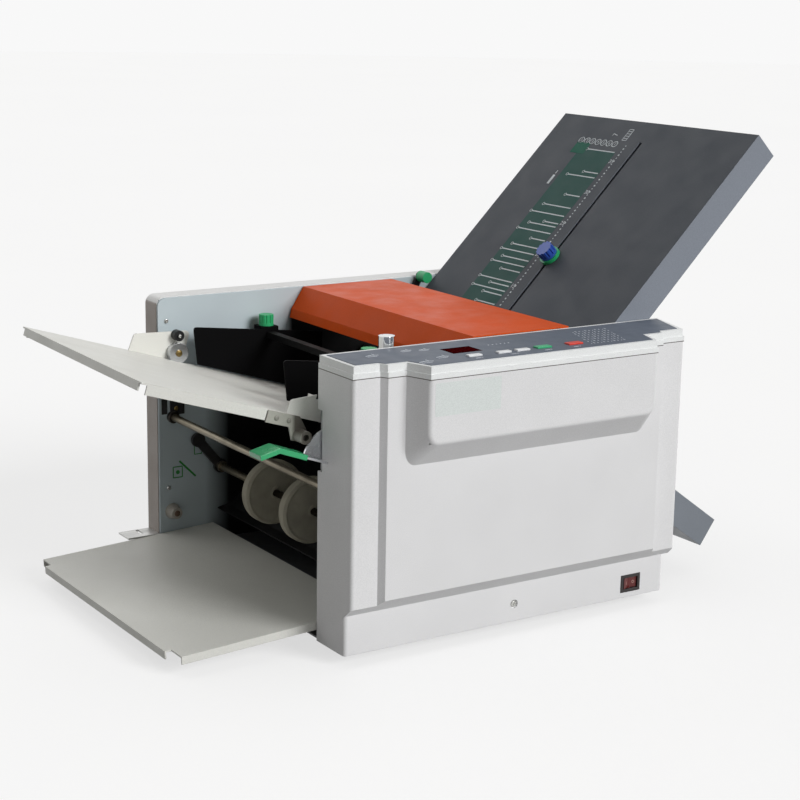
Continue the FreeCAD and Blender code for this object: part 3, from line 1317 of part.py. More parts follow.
def roller_train():
    near_end = GEAR_BACK - s.overrun / 2
    far_end = s.inner_width + s.frame_gauge + s.overrun / 2
    pulley_end = FAR_PULLEY + s.pulley_width
    # With a tooth of the main gear at no angle, a gap of its neighbour's gear faces it: the
    # neighbour's tooth lies at twice its direction, half a turn and half a pitch more
    half_pitch = HALF_TURN / s.gear_teeth
    for name, direction, rings, end in (
            ("a", s.nip_one_angle, pulley_rings(FAR_PULLEY, pulley_end, s.feed_drive_pulley), pulley_end),
            ("c", s.nip_two_angle, [], far_end), ("d", s.nip_three_angle, [], far_end)):
        fold_roller(name, near_end, [], rings, end, -(2 * direction + HALF_TURN + half_pitch))
    main_rings = pulley_rings(PULLEY_BACK, PULLEY_FACE, s.main_pulley_radius)
    fold_roller("b", PULLEY_BACK, main_rings, [], far_end, ZERO)

    bearings = new_body("roller_bearings")
    bore = s.roller_shaft + s.running_gap
    outer = bore + s.bush_wall
    rim, lip = outer + s.bush_flange, s.bush_flange_width
    axes = [*ROLLER_AXES.values(), FEED_AXIS]
    for radius, depth, start in ((outer, s.frame_gauge, -s.frame_gauge), (rim, lip, ZERO),
                                 (rim, lip, s.inner_width - lip), (outer, s.frame_gauge, s.inner_width)):
        rings = [ring for x, z in axes for ring in (Ring(x, z, radius), Ring(x, z, bore))]
        pad(bearings, "side", rings, depth, start)
    place(bearings, 0, 0, 0)


def feed_parts():
    """The feed roller past the end of the feed table, and the separator under it."""
    shaft = new_body("feed_roller")
    near_end, far_end = -s.frame_gauge - s.overrun / 2, FAR_PULLEY + s.pulley_width
    half, wide = s.feed_roller_width / 2, s.feed_roller_width
    rings = []
    for middle in (centre_line - s.feed_roller_spread, centre_line + s.feed_roller_spread):
        low, high = middle - half, middle + half
        collar = high + half / 2
        rings += [(low, high, s.feed_roller_radius), (high, collar, s.feed_hub)]
    rings += pulley_rings(FAR_PULLEY, far_end, s.feed_pulley_radius)
    revolve(shaft, [turned(near_end, far_end, s.roller_shaft, rings)])
    place(shaft, FEED_AXIS[0], 0, FEED_AXIS[1])

    bar = new_body("feed_separator")
    left = s.feed_length + s.separator_gap
    right = left + s.separator_length
    steel = box((left, -s.separator_pad - s.separator_height), (right, -s.separator_pad))
    pad(bar, "side", [steel], s.inner_width)
    spread = s.feed_roller_spread + half
    strip = box((left, -s.separator_pad), (right, 0))
    pad(bar, "side", [strip], 2 * s.feed_roller_spread + wide, centre_line - spread)
    place(bar, s.feed_left, 0, s.feed_level, ALONG_Y, s.feed_tilt)

    gauge = s.thin_gauge
    guides = new_body("paper_guides")
    entry = folded((s.entry_left, s.entry_level), [
        (s.entry_flat, ZERO), (s.entry_rise, s.entry_rise_angle), (s.entry_end, s.entry_end_angle)], gauge)
    chute = folded((s.chute_right, s.chute_level), [
        (s.chute_length, HALF_TURN + s.chute_slope), (s.chute_lip, HALF_TURN + s.chute_lip_slope)], -gauge)
    pad(guides, "side", [entry, chute], s.inner_width)
    place(guides, 0, 0, 0)


def drive_parts():
    face = PULLEY_BACK - s.pulley_gap
    length, radius = s.motor_length, s.motor_radius
    motor = new_body("drive_motor")
    pad(motor, "side", [Ring(0, 0, radius), Ring(0, 0, s.motor_shaft + s.running_gap)], length, -length)
    pad(motor, "side", [Ring(0, 0, radius * s.motor_cap_share)], s.frame_gauge, -length - s.frame_gauge)
    circle = radius * s.pillar_circle_share
    pillars = [Ring(circle * cosine(sized(angle)), circle * sine(sized(angle)), s.pillar_radius)
               for angle in PILLAR_ANGLES]
    pad(motor, "side", pillars, -s.frame_gauge - face)
    place(motor, s.motor_place, face, s.motor_level)

    pulley = new_body("motor_pulley")
    inside = s.pulley_gap + length / 2
    rings = pulley_rings(ZERO, s.pulley_width, s.motor_pulley_radius)
    revolve(pulley, [turned(-inside, s.pulley_width, s.motor_shaft, rings)])
    place(pulley, s.motor_place, PULLEY_BACK, s.motor_level)

    main = belt("main_belt", ROLLER_AXES["b"], s.main_pulley_radius,
                MOTOR_AXIS, s.motor_pulley_radius, PULLEY_BACK)
    feed = belt("feed_belt", FEED_AXIS, s.feed_pulley_radius,
                ROLLER_AXES["a"], s.feed_drive_pulley, FAR_PULLEY)
    group("drive_belts", [main, feed])

    supply = new_body("power_supply")
    length, depth, height = s.supply_length, s.supply_depth, s.supply_height
    foot = s.base_gauge
    pad(supply, "top", [box((-s.supply_ear, 0), (length + s.supply_ear, depth))], foot)
    pad(supply, "top", [box((0, 0), (length, depth))], height)
    ribs = [box((length * share - foot / 2, -foot), (length * share + foot / 2, 0)) for share in rib_shares]
    pad(supply, "top", ribs, height)
    place(supply, s.supply_left, s.supply_front, base_plate_top)


PILLAR_ANGLES = (-150, -90, -30)
rib_shares = (0.1, 0.3, 0.5, 0.7, 0.9)


# Stacker and delivery


def stacker_parts():
    """Two arms with a shaft between them, and two broad soft discs a little dished at both faces."""
    arms = new_body("stacker_arms")
    px, pz = s.stacker_pivot_place, s.stacker_pivot_level
    x, z = s.stacker_place, s.stacker_level
    half, gauge = s.arm_width / 2, s.arm_gauge
    far = s.inner_width - s.arm_inset - gauge
    lean_x, lean_z = (pz - z) * s.arm_waist_share, (x - px) * s.arm_waist_share
    bar = [(px - lean_x, pz - lean_z), (x - lean_x, z - lean_z),
           (x + lean_x, z + lean_z), (px + lean_x, pz + lean_z)]
    for start, pin in ((s.arm_inset, -s.frame_gauge), (far, far + gauge)):
        pad(arms, "side", [Ring(px, pz, half)], gauge, start)
        pad(arms, "side", [Ring(x, z, half)], gauge, start)
        pad(arms, "side", [bar], gauge, start)
        pad(arms, "side", [Ring(px, pz, s.stacker_shaft_radius)], s.arm_inset + s.frame_gauge, pin)
        cut(arms, "side", [Ring(x, z, s.stacker_shaft_radius + s.running_gap)], gauge + 2 * s.overrun,
            start - s.overrun)
    place(arms, 0, 0, 0)

    shaft = new_body("stacker_shaft")
    radius, hub, disc_half = s.stacker_shaft_radius, s.disc_hub, s.disc_width / 2
    rings = []
    for middle in (centre_line - s.disc_spread, centre_line + s.disc_spread):
        low = middle + disc_half
        rings.append((low, low + disc_half, hub))
    rings = [(s.arm_inset + gauge + s.seat_gap, 2 * s.arm_inset + gauge, hub), *rings,
             (far - s.arm_inset, far - s.seat_gap, hub)]
    revolve(shaft, [turned(s.arm_inset, far + gauge, radius, rings)])
    place(shaft, x, 0, z)

    discs = new_body("stacker_discs")
    dish, outer, edge = s.disc_dish, s.disc_radius, s.disc_edge
    profiles = []
    for middle in (centre_line - s.disc_spread, centre_line + s.disc_spread):
        low, high = middle - disc_half, middle + disc_half
        profiles.append([(low, radius), (low, hub), (low + dish, hub + dish), (low + dish, outer - 2 * edge),
                         (low, outer - edge), (low + edge, outer), (high - edge, outer), (high, outer - edge),
                         (high - dish, outer - 2 * edge), (high - dish, hub + dish),
                         (high, hub), (high, radius)])
    revolve(discs, profiles)
    place(discs, x, 0, z)


def frame_bars():
    """The brown cross rod, the tie bars and the studs that carry the fold plates."""
    rod = new_body("cross_rod")
    pad(rod, "side", [Ring(0, 0, s.cross_rod_radius)], s.inner_width)
    place(rod, s.cross_rod_place, 0, s.cross_rod_level)

    bars = new_body("tie_bars")
    places = ((s.tie_left, s.tie_low), (s.roller_place, s.tie_low), (s.tie_right, s.tie_high))
    pad(bars, "side", [Ring(x, z, s.tie_radius) for x, z in places], s.inner_width)
    reach = s.plate_gap + 2 * s.sheet_gauge
    across = s.plate_depth + s.stud_radius
    spots = [on_slope(along, -across, s.upper_place, s.upper_level, -s.upper_tilt)
             for along in (s.upper_stud_first, s.upper_stud_last)]
    across = s.plate_depth / 2 + s.stud_radius
    spots += [on_slope(along, -across, s.lower_place, s.lower_level, s.lower_tilt)
              for along in (s.lower_stud_first, s.lower_stud_last)]
    for start in (ZERO, s.inner_width - reach):
        pad(bars, "side", [Ring(x, z, s.stud_radius) for x, z in spots], reach, start)
    place(bars, 0, 0, 0)


def delivery_tray():
    """One bent sheet. Its deep inner flanges stand on the base plate."""
    body = new_body("delivery_tray")
    gauge, length, width = s.sheet_gauge, s.tray_length, plate_width
    tilt = s.tray_tilt
    step, tongue = s.tray_notch, s.tray_notch_width
    outline = [(0, tongue), (step, tongue), (step, 0), (length, 0), (length, width), (step, width),
               (step, width - tongue), (0, width - tongue)]
    pad(body, "top", [outline], gauge, -gauge)
    inside = (s.housing_wall + 2 * s.seat_gap - s.tray_left) / cosine(tilt)
    drop_first = s.tray_level - base_plate_top + inside * sine(tilt) - s.seat_gap
    drop_last = s.tray_level - base_plate_top + length * sine(tilt) - s.seat_gap
    flange = [(step, 0), (step, -s.tray_flange), (inside, -s.tray_flange), (inside, -drop_first),
              (length, -drop_last), (length, 0)]
    pad(body, "side", [flange], gauge)
    pad(body, "side", [flange], gauge, width - gauge)
    pad(body, "end", [box((tongue, -s.tray_flange), (width - tongue, 0))], gauge)
    place(body, s.tray_left, s.plate_gap, s.tray_level, ALONG_Y, -tilt)

    peg = keep(doc.addObject("Part::Cone", "tray_peg"), "tray_peg")
    peg.setExpression("Radius1", (s.peg_radius * s.peg_tip_share).text)
    peg.setExpression("Radius2", s.peg_radius.text)
    peg.setExpression("Height", s.peg_length.text)
    place(peg, s.peg_place, s.inner_width - s.peg_length, s.peg_level, Vector(1, 0, 0), -QUARTER_TURN)


# Fold plates


def upper_plate():
    """The plate that stands up at 45 degrees. Its frame has X up the slope and Z off its face."""
    gauge, width, depth, length = s.sheet_gauge, plate_width, s.plate_depth, s.upper_length
    middle = width / 2

    def set_down(body, along, across):
        x, z = on_slope(along, ZERO, s.upper_place, s.upper_level, -s.upper_tilt)
        place(body, x, s.plate_gap + across, z, ALONG_Y, -s.upper_tilt)

    top = new_body("upper_plate_top")
    slot = box((s.upper_slot_start, middle - s.slot_width / 2), (s.upper_slot_end, middle + s.slot_width / 2))
    pad(top, "top", [box((s.upper_mouth, 0), (length, width)), slot], gauge, -gauge)
    flange = box((s.upper_body, -depth), (length, 0))
    pad(top, "side", [flange], gauge)
    pad(top, "side", [flange], gauge, width - gauge)
    pad(top, "end", [box((0, -depth), (width, 0))], gauge, length - gauge)
    set_down(top, ZERO, ZERO)

    bed = new_body("upper_plate_bed")
    under = -gauge - s.channel
    lip, bed_width = s.bed_lip, width - 2 * gauge
    pad(bed, "side", [box((s.upper_body, under - gauge), (length - gauge, under))], bed_width)
    for start in (ZERO, bed_width - gauge):
        pad(bed, "side", [box((s.upper_body, under - lip), (length - gauge, under))], gauge, start)
    set_down(bed, ZERO, gauge)

    bar = new_body("upper_stop_bar")
    stop_bar(bar, under, -gauge, s.seat_gap)
    pad(bar, "top", [Ring(0, 0, s.ring_radius)], s.ring_height, s.seat_gap)
    set_down(bar, s.upper_stop_place, middle)
    knob = new_body("upper_stop_knob")
    stop_knob(knob, s.seat_gap + s.ring_height)
    set_down(knob, s.upper_stop_place, middle)


def stop_bar(body, low, high, knob_level):
    """A bar across the paper gap, with a neck through the slot."""
    half, play, reach = s.stop_length / 2, s.stop_play, s.stop_reach
    neck = s.slot_width / 2 - play
    pad(body, "top", [box((-half, -reach), (half, reach))], high - low - 2 * play, low + play)
    pad(body, "top", [box((-half / 2, -neck), (half / 2, neck))], knob_level - high + play, high - play)


def stop_knob(body, level):
    height = s.knob_height
    pad(body, "top", [Ring(0, 0, s.knob_radius)], height, level)
    cut(body, "top", flutes(s.knob_radius), height + s.overrun, level + height * s.knob_brim_share)


def lower_plate():
    """The plate that runs down at the back. Its frame has X down the slope."""
    gauge, width, depth = s.sheet_gauge, plate_width, s.plate_depth
    length, start = s.lower_length, s.lower_body
    half, reach = depth / 2, s.channel / 2
    inner = width - 2 * gauge

    def set_down(body, along, across):
        x, z = on_slope(along, ZERO, s.lower_place, s.lower_level, s.lower_tilt)
        place(body, x, s.plate_gap + across, z, ALONG_Y, s.lower_tilt)

    case = new_body("lower_plate_bed")
    pad(case, "side", [box((start, -half), (length, gauge - half))], width)
    side = box((start, -half), (length, half))
    pad(case, "side", [side], gauge)
    pad(case, "side", [side], gauge, width - gauge)
    pad(case, "end", [box((0, -half), (width, half))], gauge, length - gauge)
    pad(case, "side", [box((start, -reach - gauge), (length, -reach))], width)
    set_down(case, ZERO, ZERO)

    top = new_body("lower_plate_top")
    slot = box((s.lower_slot_start, (inner - s.slot_width) / 2),
               (s.lower_slot_end, (inner + s.slot_width) / 2))
    pad(top, "top", [box((start, 0), (length - gauge, inner)), slot], gauge, reach)
    set_down(top, ZERO, gauge)

    stop = new_body("lower_stop")
    level = half + s.seat_gap
    stop_bar(stop, -reach, reach, level)
    pad(stop, "top", [Ring(0, 0, s.ring_radius)], s.ring_height, level)
    stop_knob(stop, level + s.ring_height)
    set_down(stop, s.lower_stop_place, width / 2)


def plate_latch():
    """A black arm on the far frame with a green knob, turned down beside the upper plate."""
    body = new_body("plate_latch")
    half, gauge = s.latch_arm / 2, s.latch_gauge
    x, z = s.latch_reach, s.latch_rise
    lean = s.latch_waist_share
    pad(body, "side", [Ring(0, 0, half)], gauge)
    pad(body, "side", [Ring(x, z, half)], gauge)
    pad(body, "side", [[(-z * lean, x * lean), (z * lean, -x * lean), (x + z * lean, z - x * lean),
                        (x - z * lean, z + x * lean)]], gauge)
    pad(body, "side", [Ring(0, 0, s.latch_pin)], s.frame_gauge + s.seat_gap, gauge)
    pad(body, "side", [Ring(x, z, s.latch_knob_radius)], s.latch_knob_width, -s.latch_knob_width)
    place(body, s.latch_place, s.inner_width - s.seat_gap - gauge, s.latch_level)


def panel_screws():
    """Screw heads: on the far frame's inner face, on the far cover and in the base's front."""
    body = new_body("panel_screws")
    radius, head = s.screw_radius, s.screw_head
    inset, low, high = 4 * radius, s.foot_height + 4 * radius, s.cover_top - 4 * radius
    frame_spots = [Ring(s.screw_left, s.screw_high, radius), Ring(s.screw_low_left, s.screw_low, radius)]
    pad(body, "side", frame_spots, head, s.inner_width - head)
    cover_spots = [Ring(x, z, radius) for x in (s.cover_left + inset, s.housing_length - inset)
                   for z in (low, high)]
    pad(body, "side", cover_spots, head, s.inner_width + s.frame_gauge + s.cover_depth)
    pad(body, "side", [Ring(s.base_screw_place, s.base_screw_level, s.base_screw_radius)], head,
        s.housing_wall / 2 - s.base_depth - head)
    place(body, 0, 0, 0)


near_housing()
housing_cap()
control_overlay()
display_window()
for name, (length, width, x, row) in KEYS.items():
    key(name, length, width, x, row)
circuit_board()
power_switch()
power_inlet()
side_frames()
far_cover()
base_parts()
feed_table()
hinge_bracket()
tray_pivots()
lift_lever()
guide_parts()
pressure_knob()
roller_cover()
roller_train()
feed_parts()
drive_parts()
stacker_parts()
frame_bars()
delivery_tray()
upper_plate()
lower_plate()
plate_latch()
panel_screws()
doc.recompute()

for item in doc.Objects:
    if "Invalid" in item.State or "Error" in item.State:
        raise RuntimeError(f"{item.Label} could not be worked out")
for label, item in parts.items():
    if item.Shape.isNull() or not item.Shape.isValid() or not item.Shape.Solids:
        raise RuntimeError(f"{label} has no sound solid")

os.makedirs("parts", exist_ok=True)
for label, item in parts.items():
    item.Shape.exportStep(os.path.join("parts", f"{label}.step"))
print(f"{len(parts)} sub-parts written")
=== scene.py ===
import math

import bmesh
import bpy
from mathutils import Matrix, Vector


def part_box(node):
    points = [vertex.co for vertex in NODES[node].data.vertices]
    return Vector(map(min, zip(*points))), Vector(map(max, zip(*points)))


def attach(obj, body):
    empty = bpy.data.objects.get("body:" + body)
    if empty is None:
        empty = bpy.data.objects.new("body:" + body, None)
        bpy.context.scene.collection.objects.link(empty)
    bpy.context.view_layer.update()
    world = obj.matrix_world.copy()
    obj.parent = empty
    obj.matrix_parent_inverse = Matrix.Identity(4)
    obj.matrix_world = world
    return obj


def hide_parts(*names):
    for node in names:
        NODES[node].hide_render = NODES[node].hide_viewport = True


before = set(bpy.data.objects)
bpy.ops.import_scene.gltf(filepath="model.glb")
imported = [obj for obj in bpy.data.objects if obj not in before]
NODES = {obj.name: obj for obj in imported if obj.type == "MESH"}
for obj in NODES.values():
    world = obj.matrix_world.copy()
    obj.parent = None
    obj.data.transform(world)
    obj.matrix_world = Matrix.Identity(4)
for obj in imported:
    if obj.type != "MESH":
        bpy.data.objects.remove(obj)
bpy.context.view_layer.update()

MM = 0.001
PER_METRE = 1000
RIGHT, BACK, UP = Vector((1, 0, 0)), Vector((0, 1, 0)), Vector((0, 0, 1))

# The middle of the machine's box, which is the origin of the part's frame, in millimetres
MIDDLE_X, MIDDLE_Y = 194.8105, 137.45
# The axis of the aluminium discs, the roller's height above it, and places inside of the discs
DISC_X, DISC_Z, EAR_ROLLER_Z = 12.7, 237, 256.5
INSIDE_FAR, INSIDE_NEAR = 250, 60


def at(x, y, z):
    """A point of the machine in millimetres, as a point of the frame in metres."""
    return Vector((x - MIDDLE_X, y - MIDDLE_Y, z)) / PER_METRE


# ---------------------------------------------------------------- colours

# The sRGB curve: the end and the slope of its straight foot, and the offset and power above it
FULL = 255
FOOT_END, FOOT_SLOPE = 0.04045, 12.92
CURVE_OFFSET, CURVE_POWER = 0.055, 2.4

HOUSING = (232, 232, 233)
CAP = (243, 245, 245)
GREEN = (40, 172, 108)
BLUE = (46, 84, 178)
FRAME_BLUE = (188, 200, 205)
TRAY = (226, 226, 220)
TRAY_WEAR = (176, 174, 168)
DARK_PLATE = (77, 82, 89)
GREY_PLATE = (136, 142, 152)
BLACK = (15, 15, 16)


def linear(colour):
    """A colour written in 0 to 255 steps, as the linear values that the shaders take."""
    out = []
    for step in colour:
        share = step / FULL
        curved = ((share + CURVE_OFFSET) / (1 + CURVE_OFFSET)) ** CURVE_POWER
        out.append(share / FOOT_SLOPE if share <= FOOT_END else curved)
    return (*out, 1.0)


def lighter(colour, factor):
    """A colour with its steps times a factor, kept within 0 to 255."""
    return tuple(max(0.0, min(255.0, step * factor)) for step in colour)


def grey(level):
    return (level, level, level, 1)


# ---------------------------------------------------------------- materials

# Most of a noise lies between these values
NOISE_LOW, NOISE_HIGH = 0.3, 0.7
BEVEL_SAMPLES = 6
COAT_ROUGHNESS = 0.1
# The sockets of a colour Mix node
MIX_FACTOR, MIX_FIRST, MIX_SECOND, MIX_RESULT = 0, 6, 7, 2
# How far two normals agree on an edge that has rubbed, and on an open face
EDGE_AGREES, FACE_AGREES = 0.93, 0.999
WEAR_WIDTH = 0.9 * MM


class Finish:
    """A node material that is put together from a few layers. Its lengths are in metres."""

    def __init__(self, name, roughness, metallic=0.0, specular=0.5, coat=0.0):
        self.material = bpy.data.materials.new(name)
        self.material.use_nodes = True
        self.tree = self.material.node_tree
        self.tree.nodes.clear()
        self.shader = self.tree.nodes.new("ShaderNodeBsdfPrincipled")
        output = self.tree.nodes.new("ShaderNodeOutputMaterial")
        self.link(self.shader.outputs["BSDF"], output.inputs["Surface"])
        self.put("Roughness", roughness)
        self.put("Metallic", metallic)
        self.put("Specular IOR Level", specular)
        self.put("Coat Weight", coat)
        self.put("Coat Roughness", COAT_ROUGHNESS)
        self.place = self.node("ShaderNodeTexCoord").outputs["Object"]

    def node(self, kind, inputs=(), **settings):
        """A node with its settings, and its inputs linked or set to a constant."""
        made = self.tree.nodes.new(kind)
        for name, value in settings.items():
            setattr(made, name, value)
        for name, value in dict(inputs).items():
            if isinstance(value, bpy.types.NodeSocket):
                self.link(value, made.inputs[name])
            else:
                made.inputs[name].default_value = value
        return made

    def link(self, source, target):
        self.tree.links.new(source, target)

    def put(self, name, value):
        self.shader.inputs[name].default_value = value

    def stretched(self, stretch):
        return self.node("ShaderNodeMapping", {"Vector": self.place, "Scale": stretch}).outputs[0]

    def noise(self, scale, detail=2.0, place=None):
        return self.node("ShaderNodeTexNoise", {"Vector": place or self.place, "Scale": scale,
                                                "Detail": detail}).outputs["Fac"]

    def ramp(self, factor, stops):
        """Two colours, each at its place along a factor."""
        made = self.node("ShaderNodeValToRGB", {"Fac": factor})
        for step, (place, colour) in zip(made.color_ramp.elements, stops):
            step.position = place
            step.color = colour
        return made.outputs["Color"]

    def mottle(self, factor, colour, dark, light):
        """A colour that goes from a darker to a lighter tone of itself along a factor."""
        return self.ramp(factor, [(NOISE_LOW, linear(lighter(colour, dark))),
                                  (NOISE_HIGH, linear(lighter(colour, light)))])

    def mix(self, factor, first, second, blend="MIX"):
        inputs = {MIX_FACTOR: factor, MIX_FIRST: first, MIX_SECOND: second}
        return self.node("ShaderNodeMix", inputs, data_type="RGBA",
                         blend_type=blend).outputs[MIX_RESULT]

    def speckled(self, tint, factor, level, start, end):
        """A tint times a grey up to start along a factor, and unchanged beyond end."""
        speck = self.ramp(factor, [(start, linear((level,) * 3)), (end, linear((FULL,) * 3))])
        return self.mix(1.0, tint, speck, "MULTIPLY")

    def spread(self, factor, low, high, start=NOISE_LOW, end=NOISE_HIGH):
        """low up to start and high beyond end, along a factor."""
        return self.node("ShaderNodeMapRange", {"Value": factor, "From Min": start, "From Max": end,
                                                "To Min": low, "To Max": high}).outputs[0]

    def times(self, first, second, operation="MULTIPLY"):
        return self.node("ShaderNodeMath", {0: first, 1: second}, operation=operation).outputs[0]

    def past(self, axis, start, end):
        """0 up to start and 1 beyond end, along an axis of the frame."""
        axes = self.node("ShaderNodeSeparateXYZ", {"Vector": self.place}).outputs
        return self.spread(axes[axis], 0.0, 1.0, start, end)

    def changed(self, tint, change):
        """A tint that has another colour past a place. change is (axis, start, end, colour)."""
        if not change:
            return tint
        axis, start, end, colour = change
        return self.mix(self.past(axis, start, end), tint, linear(colour))

    def rounded_normal(self, radius):
        return self.node("ShaderNodeBevel", {"Radius": radius}, samples=BEVEL_SAMPLES).outputs[0]

    def edges(self, radius):
        """1 along an edge and 0 on an open face."""
        face = self.node("ShaderNodeNewGeometry").outputs["Normal"]
        turned = self.node("ShaderNodeVectorMath", {0: self.rounded_normal(radius), 1: face},
                           operation="DOT_PRODUCT").outputs["Value"]
        return self.spread(turned, 1.0, 0.0, EDGE_AGREES, FACE_AGREES)

    def relief(self, layers, rounding=0.0):
        """layers of (height socket, depth), the broadest first."""
        normal = self.rounded_normal(rounding) if rounding else None
        for height, depth in layers:
            bump = self.node("ShaderNodeBump", {"Height": height, "Distance": depth,
                                                "Strength": 1.0})
            if normal:
                self.link(normal, bump.inputs["Normal"])
            normal = bump.outputs[0]
        self.link(normal, self.shader.inputs["Normal"])
        return self.material

    def paint(self, colour):
        self.link(colour, self.shader.inputs["Base Color"])

    def dull(self, roughness):
        self.link(roughness, self.shader.inputs["Roughness"])


def moulded(name, colour, roughness=0.45, grain=0.02 * MM, rounding=0.6 * MM, variation=0.02,
            coat=0.0, specular=0.5, change=None):
    """Moulded plastic: a fine spark-eroded grain, and a very faint unevenness of colour."""
    f = Finish(name, roughness, specular=specular, coat=coat)
    broad, fine = f.noise(18, detail=3), f.noise(1700)
    tint = f.changed(f.mottle(broad, colour, 1 - variation, 1 + variation), change)
    f.paint(f.speckled(tint, fine, 238, 0.35, 0.65))
    f.dull(f.spread(f.noise(60, detail=3), roughness - 0.06, roughness + 0.06))
    return f.relief([(broad, 0.06 * MM), (fine, grain)], rounding)


def coated(name, colour, roughness=0.4, variation=0.025, peel=0.02 * MM, wear=None,
           wear_share=0.35, specular=0.5, change=None):
    """Powder coat or paint on sheet: orange peel, faint mottling, and rubbed bare edges."""
    f = Finish(name, roughness, specular=specular)
    broad, orange_peel, speckle = f.noise(11, detail=4), f.noise(420), f.noise(2600, detail=1)
    tint = f.changed(f.mottle(broad, colour, 1 - variation, 1 + variation), change)
    tint = f.speckled(tint, speckle, 236, 0.3, 0.6)
    if wear:
        patches = f.spread(f.noise(95, detail=4), 0.0, wear_share, 0.42, 0.62)
        tint = f.mix(f.times(f.edges(WEAR_WIDTH), patches), tint, linear(wear))
    f.paint(tint)
    f.dull(f.spread(f.noise(38, detail=4), roughness - 0.07, roughness + 0.09))
    return f.relief([(orange_peel, peel), (speckle, 0.006 * MM)], 0.5 * MM)


# How a noise is squeezed into the lines of a sheet, and of a bar that lies across the machine
ALONG_SHEET, ALONG_BAR = (6, 900, 900), (900, 8, 900)


def sheet_steel(name, colour, roughness, stretch=ALONG_SHEET, stain=None, change=None):
    """Bare or plated steel with the fine lines of its rolling or grinding."""
    f = Finish(name, roughness, metallic=1.0)
    f.put("Anisotropic", 0.35)
    lines, broad = f.noise(1.0, detail=3, place=f.stretched(stretch)), f.noise(26, detail=4)
    tint = f.mottle(lines, colour, 0.9, 1.06)
    if stain:
        tint = f.mix(f.spread(broad, 0.0, 0.5, 0.45, 0.7), tint, linear(stain))
    f.paint(f.changed(tint, change))
    f.dull(f.spread(broad, roughness - 0.08, roughness + 0.12))
    return f.relief([(broad, 0.03 * MM), (lines, 0.008 * MM)], 0.4 * MM)


RING_PITCH = 0.4 * MM


def turned_metal(name, colour, centre, roughness=0.25):
    """Metal turned on a lathe: fine rings round an axis through centre, across the machine."""
    f = Finish(name, roughness, metallic=1.0)
    f.put("Anisotropic", 0.5)
    moved = f.node("ShaderNodeMapping", {"Vector": f.place, "Location": [-c for c in centre]})
    rays = f.node("ShaderNodeMapping", {"Vector": moved.outputs[0], "Scale": (1, 0, 1)}).outputs[0]
    reach = f.node("ShaderNodeVectorMath", {0: rays}, operation="LENGTH").outputs["Value"]
    rings = f.node("ShaderNodeTexNoise", {"W": f.times(reach, 1 / RING_PITCH), "Scale": 1.0,
                                          "Detail": 2.0}, noise_dimensions="1D").outputs["Fac"]
    f.paint(f.mottle(rings, colour, 0.86, 1.08))
    f.dull(f.spread(f.noise(40, detail=3), roughness - 0.06, roughness + 0.12))
    return f.relief([(rings, 0.012 * MM)], 0.4 * MM)


def rubber(name, colour, roughness=0.78, grain=0.04 * MM, dust=None):
    """Matt rubber or foam, with dust in patches."""
    f = Finish(name, roughness, specular=0.35)
    broad, fine = f.noise(45, detail=5), f.noise(1300, detail=3)
    tint = f.mottle(broad, colour, 0.93, 1.06)
    if dust:
        tint = f.mix(f.spread(f.noise(130, detail=6), 0.0, 0.45, 0.5, 0.75), tint, linear(dust))
    f.paint(tint)
    f.dull(f.spread(fine, roughness - 0.08, roughness + 0.1))
    return f.relief([(broad, 0.08 * MM), (fine, grain)], 0.6 * MM)


def polished(name, colour, roughness=0.07):
    """Bright metal with a faint smear."""
    f = Finish(name, roughness, metallic=1.0)
    smear = f.noise(70, detail=5)
    f.paint(f.mottle(smear, colour, 0.96, 1.03))
    f.dull(f.spread(smear, roughness, roughness + 0.1, 0.35, 0.75))
    return f.relief([(f.noise(900), 0.003 * MM)], 0.3 * MM)


def ink(name, colour, specular, roughness=0.5):
    """A printed or painted mark, nearly without grain."""
    return moulded(name, colour, roughness, 0.002 * MM, 0.0, specular=specular)


def faded_frame():
    """The far frame's blue-grey coat, with painted shade that turns it black low on its inner face
    and in the roller bay.
    """
    f = Finish("far_frame_coat_with_painted_shade", 0.38, specular=0.25)
    broad, peel = f.noise(7, detail=3), f.noise(420)
    # Painted shade: black past X 82 mm below Z 170 mm, and past X 164 mm below Z 264 mm, in the
    # roller bay
    shade, bay_shade_corner = at(52, 0, 200), at(158, 0, 276)
    low = f.times(f.past("X", shade.x, shade.x + 30 * MM),
                  f.past("Z", shade.z, shade.z - 30 * MM))
    bay = f.times(f.past("X", bay_shade_corner.x, bay_shade_corner.x + 6 * MM),
                  f.past("Z", bay_shade_corner.z, bay_shade_corner.z - 12 * MM))
    f.paint(f.mix(f.times(low, bay, "MAXIMUM"), f.mottle(broad, FRAME_BLUE, 0.97, 1.02),
                  linear(BLACK)))
    f.dull(f.spread(f.noise(38, detail=4), 0.32, 0.46))
    return f.relief([(peel, 0.02 * MM)], 0.5 * MM)


def two_tone_plate():
    """The upper fold plate: a dark printed face, and grey flanges."""
    f = Finish("plate_dark", 0.5, specular=0.15)
    normal = f.node("ShaderNodeTexCoord").outputs["Normal"]
    facing = f.node("ShaderNodeVectorMath", {0: normal, 1: (-0.7071, 0, 0.7071)},
                    operation="DOT_PRODUCT").outputs["Value"]
    cloud, speckle = f.noise(9, detail=3), f.noise(2300, detail=1)
    flange, face = (f.mottle(cloud, colour, 0.985, 1.015) for colour in (GREY_PLATE, DARK_PLATE))
    tint = f.mix(f.spread(facing, 0.0, 1.0, 0.6, 0.9), flange, face)
    f.paint(f.speckled(tint, speckle, 232, 0.3, 0.65))
    f.dull(f.spread(f.noise(34, detail=4), 0.44, 0.58))
    return f.relief([(f.noise(520), 0.015 * MM), (speckle, 0.005 * MM)], 0.5 * MM)
